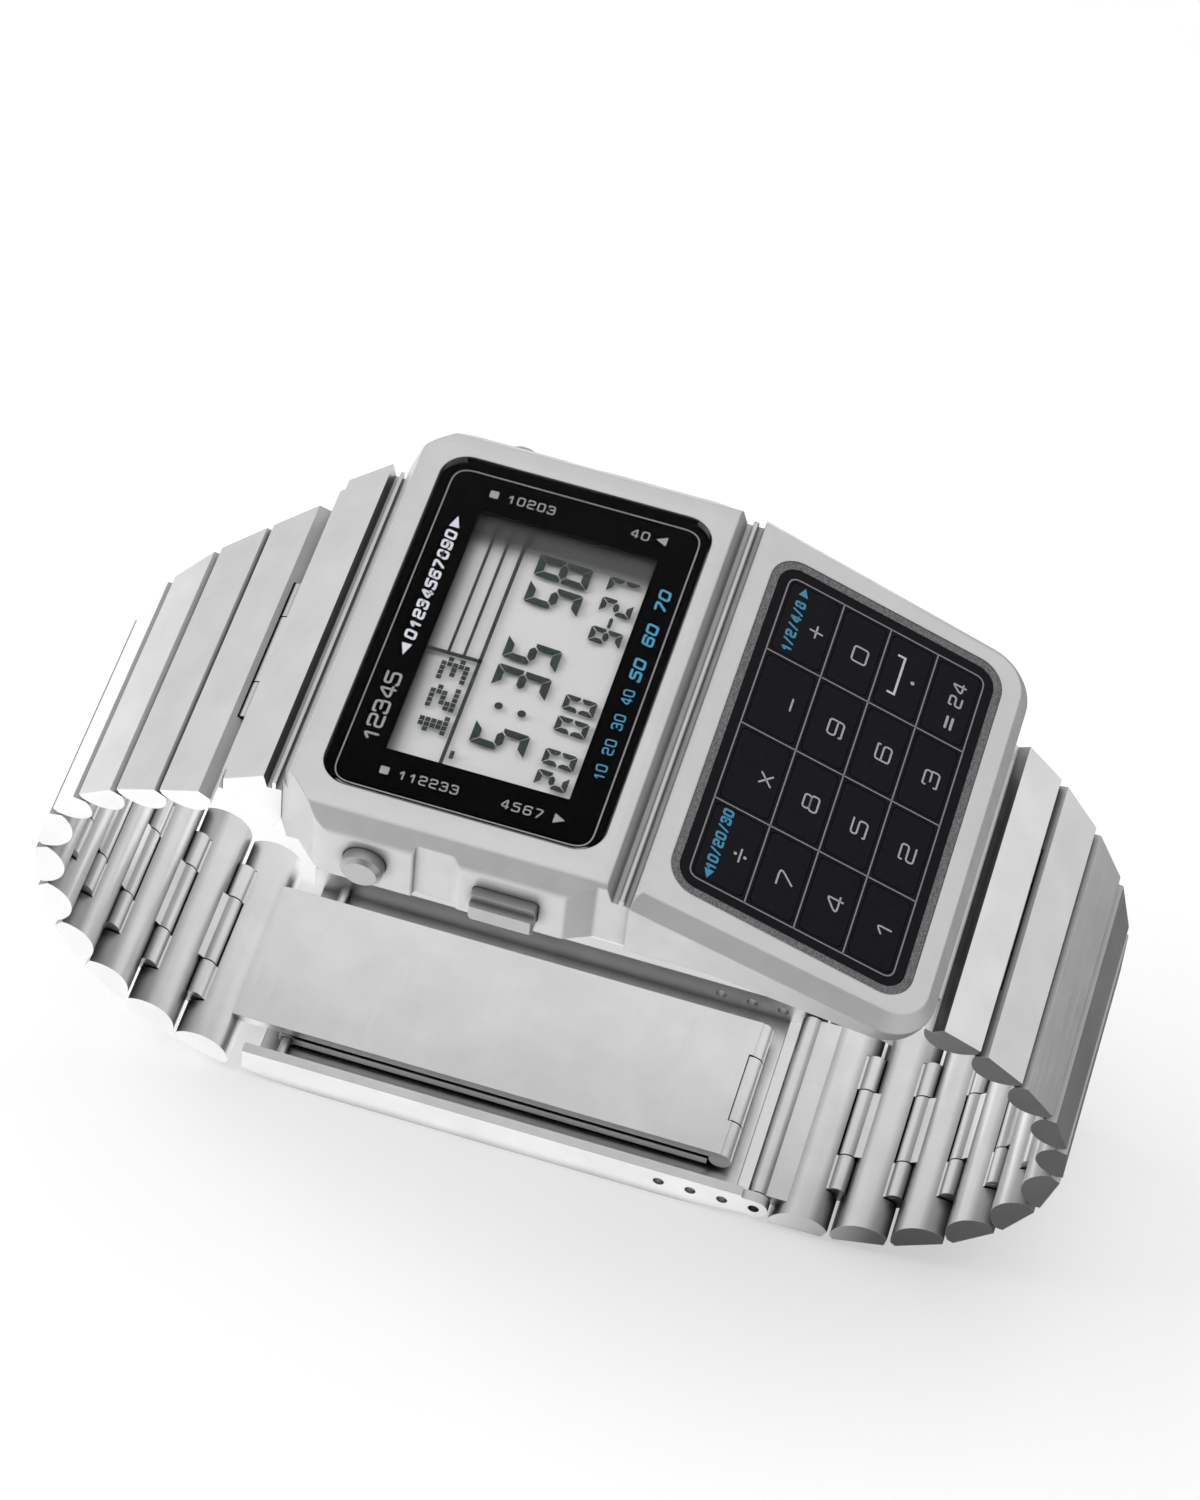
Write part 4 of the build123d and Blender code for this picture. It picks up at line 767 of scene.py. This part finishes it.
def key_marks():
    """Blue numbers with an arrowhead over the first and last signs, and a space bar sign on the point key."""
    for name, side, text, start in BLUE_KEYS:
        faces = arrow_across(side * (BLUE_TIP - BLUE_REACH), BLUE_V, side * BLUE_REACH, BLUE_HALF)
        faces += blue_row(text, start)
        key_print("blue_arrows_" + name, faces, BLUE_INK, "key_" + name)
    bar = stroke([Vector(point) for point in SPACE_BAR], SPACE_BAR_LINE)
    key_print("space_bar_mark", bar, WHITE_INK, "key_point")


keypad_grid()
key_legends()
key_marks()


# Display surround: silver outline, plain number scales and the marks beside the buttons

# Rows of numbers: text, first digit's place, size, line width, pitch and slant
GREY_ROW = ("12345", -9.72, 7.42, (0.92, 0.95), 0.17, 1.22)
WHITE_ROW = ("01234567890", -0.95, 7.42, (0.56, 0.66), 0.19, 0.90, 0.22)
BLUE_ROWS = (
    ("10 20 30 40", -8.0, -7.78, (0.46, 0.68), 0.10, 0.72),
    ("50 60 70", 0.75, -7.78, (0.68, 0.68), 0.17, 1.02, 0.25),
)
# The arrowheads at the ends of the white row: foot, middle, reach and half width
WHITE_ARROWS = ((-1.75, 7.42, -1.0, 0.36), (8.75, 7.42, 1.0, 0.36))

SIDE_MARK_X = 12.25
SIDE_MARK_SHIFT = 0.1
SIDE_SQUARE_Y, SIDE_SQUARE_HALF = 5.66, 0.30
SIDE_UPPER_Y = 4.45
SIDE_UPPER_STYLE = ((0.44, 0.66), 0.10, 0.72)
SIDE_LOWER_STYLE = ((0.46, 0.66), 0.10, 0.78)
SIDE_ARROW_HALF = 0.40
# The marks of one flank: name, side, upper row, lower row and its start, arrowhead's foot and reach
SIDE_MARKS = (
    ("side_marks_left", -1, "112233", "4567", -2.60, -5.95, -0.75),
    ("side_marks_right", 1, "10203", "40", -4.35, -6.65, 0.75),
)


def surround():
    x, y = OUTLINE_HALF
    ring = stroke(rounded_box(-x, x, -y, y, OUTLINE_CORNER), OUTLINE_WIDTH, True)
    mask_print("silver_outline", ring, SILVER_INK)
    mask_print("grey_numbers", digits(*GREY_ROW), GREY_INK)
    white = digits(*WHITE_ROW)
    for arrow in WHITE_ARROWS:
        white += arrow_across(*arrow)
    mask_print("white_number_scale", white, WHITE_INK)
    mask_print("blue_number_scale", [face for row in BLUE_ROWS for face in digits(*row)], BLUE_INK)


def side_marks():
    for name, side, upper, lower, lower_y, arrow_y, reach in SIDE_MARKS:
        x, half = side * SIDE_MARK_X + SIDE_MARK_SHIFT, SIDE_SQUARE_HALF
        low, high = SIDE_SQUARE_Y - half, SIDE_SQUARE_Y + half
        faces = patch((x - half, low), (x + half, low), (x + half, high), (x - half, high))
        faces += digits_down(upper, x, SIDE_UPPER_Y, *SIDE_UPPER_STYLE)
        faces += arrow_up(x, arrow_y, reach, SIDE_ARROW_HALF)
        faces += digits_down(lower, x, lower_y, *SIDE_LOWER_STYLE)
        mask_print(name, faces, GREY_INK)


def display_cover():
    """The clear glass with its softened rim, in close contact with the print on its underside."""
    half_x = (GLASS_HIGH.x - GLASS_LOW.x) / 2 / MM
    half_y = (GLASS_HIGH.y - GLASS_LOW.y) / 2 / MM
    work = bmesh.new()
    loops = []
    for inset, height in COVER_RINGS:
        x, y = half_x - inset, half_y - inset
        points = rounded_box(-x, x, -y, y, GLASS_CORNER - inset)
        loops.append([work.verts.new(DISPLAY.place(u, v, height)) for u, v in points])
    for lower, upper in zip(loops, loops[1:]):
        for index in range(len(lower)):
            after = (index + 1) % len(lower)
            work.faces.new((lower[index], lower[after], upper[after], upper[index]))
    work.faces.new(loops[0][::-1])
    work.faces.new(loops[-1])
    piece = put_mesh("display_cover", work, GLASS)
    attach(piece, "case")
    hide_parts("display_glass")


surround()
side_marks()
display_cover()


# Display: dark segments and rules, and the thin glass plate that carries them over the reflector

SEGMENTS = {
    "0": "abcdef", "1": "bc", "2": "abged", "3": "abgcd", "4": "fgbc",
    "5": "afgcd", "6": "afgedc", "7": "abc", "8": "abcdefg", "9": "abcdfg",
}
SEGMENT_GAP = 0.07
SEGMENT_TIP = 0.1
SEGMENT_LEAN = 0.055
# Rows of seven-segment digits: low edge, width, height, line width, and each digit's left edge
SEGMENT_ROWS = (
    (-2.58, 1.92, 3.80, 0.56, (("5", -8.05), ("3", -3.09), ("5", -0.62), ("5", 4.33), ("8", 6.69))),
    (-6.03, 1.33, 2.24, 0.40,
     (("2", -9.83), ("0", -8.03), ("0", -5.23), ("0", -3.37), ("9", 2.71), ("2", 5.31), ("7", 7.11))),
)
COLON_DOTS = ((-4.40, 0.19, 0.29), (-4.53, -1.45, 0.29))
DATE_STROKE = (4.34, -4.88, 5.00, -4.88, 0.26)
HALF_DAY_MARK = ((-9.58, 1.79), (-8.93, 1.79), (-8.93, 2.07), (-9.58, 2.07))
# Lines between the fields of the display: ends and width
RULES = (
    (-11.2, 2.44, 11.4, 2.44, 0.26),
    (-1.30, 2.44, -1.30, 6.6, 0.30),
    (-1.30, 4.67, 11.4, 4.67, 0.21),
    (-1.30, 3.59, 11.4, 3.59, 0.21),
)
DOTS = {
    "1": ("..##.", ".###.", "..##.", "..##.", ".####"),
    "2": ("####.", "...##", ".###.", "##...", "#####"),
    "3": ("####.", "...##", ".###.", "...##", "####."),
}
DOT_PITCH = 0.405
DOT_SIZE = 0.35
DOT_ROW_TOP = 4.86
DOT_ROW = (("1", -8.38), ("2", -5.97), ("3", -3.57))


def segment_shapes(w, h, t):
    """Corners of the seven segments of a digit w wide and h high, with lines t wide."""
    gap, tip, cut, middle = SEGMENT_GAP, SEGMENT_TIP, t / 2, h / 2
    near, far = t + gap, w - t - gap
    upper = [(0, h - gap - tip), (0, middle + gap), (cut, middle + gap), (t, middle + cut + gap),
             (t, h - t - gap), (tip, h - gap)]
    lower = [(0, gap + tip), (0, middle - gap), (cut, middle - gap), (t, middle - cut - gap),
             (t, t + gap), (tip, gap)]
    return {
        "a": [(gap, h), (w - gap, h), (far, h - t), (near, h - t)],
        "b": [(w - x, y) for x, y in upper],
        "c": [(w - x, y) for x, y in lower],
        "d": [(gap, 0), (w - gap, 0), (far, t), (near, t)],
        "e": lower,
        "f": upper,
        "g": [(gap + cut, middle), (near, middle + cut), (far, middle + cut),
              (w - gap - cut, middle), (far, middle - cut), (near, middle - cut)],
    }


def segment_digit(name, x, y, w, h, t):
    """Faces of one seven-segment digit from its lower left corner."""
    shapes = segment_shapes(w, h, t)
    return [[Vector((x + a + SEGMENT_LEAN * b, y + b)) for a, b in shapes[key]] for key in SEGMENTS[name]]


def dot_digit(name, x, y):
    """Faces of a five by five dot digit from its upper left corner."""
    faces = []
    for row, cells in enumerate(DOTS[name]):
        for column, cell in enumerate(cells):
            if cell == "#":
                u, v = x + DOT_PITCH * column, y - DOT_PITCH * row
                faces += patch((u, v), (u, v - DOT_SIZE), (u + DOT_SIZE, v - DOT_SIZE), (u + DOT_SIZE, v))
    return faces


def display():
    faces = []
    for low, wide, high, width, row in SEGMENT_ROWS:
        for name, x in row:
            faces += segment_digit(name, x, low, wide, high, width)
    for dot in COLON_DOTS:
        faces += disc(*dot)
    faces += line(*DATE_STROKE)
    for name, x in DOT_ROW:
        faces += dot_digit(name, x, DOT_ROW_TOP)
    faces += patch(*HALF_DAY_MARK)
    lcd_print("lcd_segments", faces)
    lcd_print("lcd_rules", [face for rule in RULES for face in line(*rule)])


def lcd_plate():
    x, y = LCD_PLATE_HALF
    plate = [rounded_box(-x, x, -y, y, LCD_PLATE_CORNER)]
    flat_piece("lcd_glass_plate", plate, DISPLAY, LCD_PLATE, LCD_GLASS, "case")


display()
lcd_plate()


# Floor, light and camera

def seen_share(m):
    """One for rays that look at the background straight, by reflection or through glass."""
    path = m.node("LightPath").outputs
    return m.add(m.add(path["Is Camera Ray"], path["Is Glossy Ray"]), path["Is Transmission Ray"])


def studio_floor():
    """A plain white floor that keeps the object's shadow, darker in reflections towards 6 o'clock."""
    mesh = bpy.data.meshes.new("studio_floor")
    turns = [2 * math.pi * step / FLOOR_STEPS for step in range(FLOOR_STEPS)]
    rim = [(FLOOR_RADIUS * math.cos(a), FLOOR_RADIUS * math.sin(a), FLOOR_Z) for a in turns]
    mesh.from_pydata(rim, [], [range(FLOOR_STEPS)])
    floor = put("studio_floor", mesh)
    m = Nodes("white_floor", grey(FLOOR_WHITE), 0.9)
    mirrored = m.node("LightPath").outputs["Is Glossy Ray"]
    along = m.span(m.node("SeparateXYZ", Vector=m.place).outputs["Y"], *FLOOR_CHANGE, 0, 1)
    mottle = ((NOISE_LOW, FLOOR_WHITE - FLOOR_SPREAD), (NOISE_HIGH, FLOOR_WHITE + FLOOR_SPREAD))
    plain = m.tone(m.noise(3, 2), mottle)
    m.set("Base Color", m.mix(mirrored, plain, m.tone(along, ((0, FLOOR_SHADE), (1, FLOOR_WHITE)))))
    glow = (*grey(FLOOR_GLOW), 1)
    m.set("Emission Color", m.mix(mirrored, glow, m.tone(along, ((0, 0), (1, FLOOR_SHINE)))))
    m.set("Emission Strength", seen_share(m))
    mesh.materials.append(m.material)


def white_world():
    """White all round, grey on three sides in reflections, and weak as a light on the object."""
    world = bpy.data.worlds.new("studio_world")
    bpy.context.scene.world = world
    world.use_nodes = True
    tree = world.node_tree
    path = tree.nodes.new("ShaderNodeLightPath").outputs
    way = tree.nodes.new("ShaderNodeTexCoord").outputs["Generated"]
    shine = operate(tree, "Math", "MAXIMUM", path["Is Glossy Ray"], path["Is Transmission Ray"])
    for side, start, dark in DARK_SIDES:
        facing = operate(tree, "VectorMath", "DOT_PRODUCT", way, side)
        shine = operate(tree, "Math", "MULTIPLY", shine, remap(tree, facing, start, 1.0, 1.0, dark))
    shine = operate(tree, "Math", "MAXIMUM", shine, path["Is Camera Ray"])
    background = tree.nodes["Background"].inputs
    background["Color"].default_value = (1, 1, 1, 1)
    tree.links.new(operate(tree, "Math", "MAXIMUM", shine, WORLD_FILL), background["Strength"])


def softbox(name, offset, size, power):
    """A square soft lamp that faces the object and leaves no patch of its own in the metal."""
    data = bpy.data.lights.new(name, "AREA")
    data.shape = "SQUARE"
    data.size = size
    data.energy = power
    lamp = put(name, data)
    lamp.location = ORIGIN + Vector(offset)
    lamp.rotation_mode = "QUATERNION"
    lamp.rotation_quaternion = (-Vector(offset)).to_track_quat("-Z", "Y")
    lamp.visible_glossy = False


def photo_camera():
    data = bpy.data.cameras.new("photo_camera")
    data.lens = LENS
    data.sensor_width = SENSOR
    data.clip_start, data.clip_end = CLIP
    camera = put("photo_camera", data)
    back = -CAMERA_LOOK.normalized()
    up = (CAMERA_UP - back * CAMERA_UP.dot(back)).normalized()
    turn = Matrix((up.cross(back), up, back)).transposed()
    camera.matrix_world = Matrix.Translation(at(*CAMERA_PLACE)) @ turn.to_4x4()
    bpy.context.scene.camera = camera


studio_floor()
white_world()
for box in SOFTBOXES:
    softbox(*box)
photo_camera()
bpy.context.scene.view_settings.view_transform = "Standard"
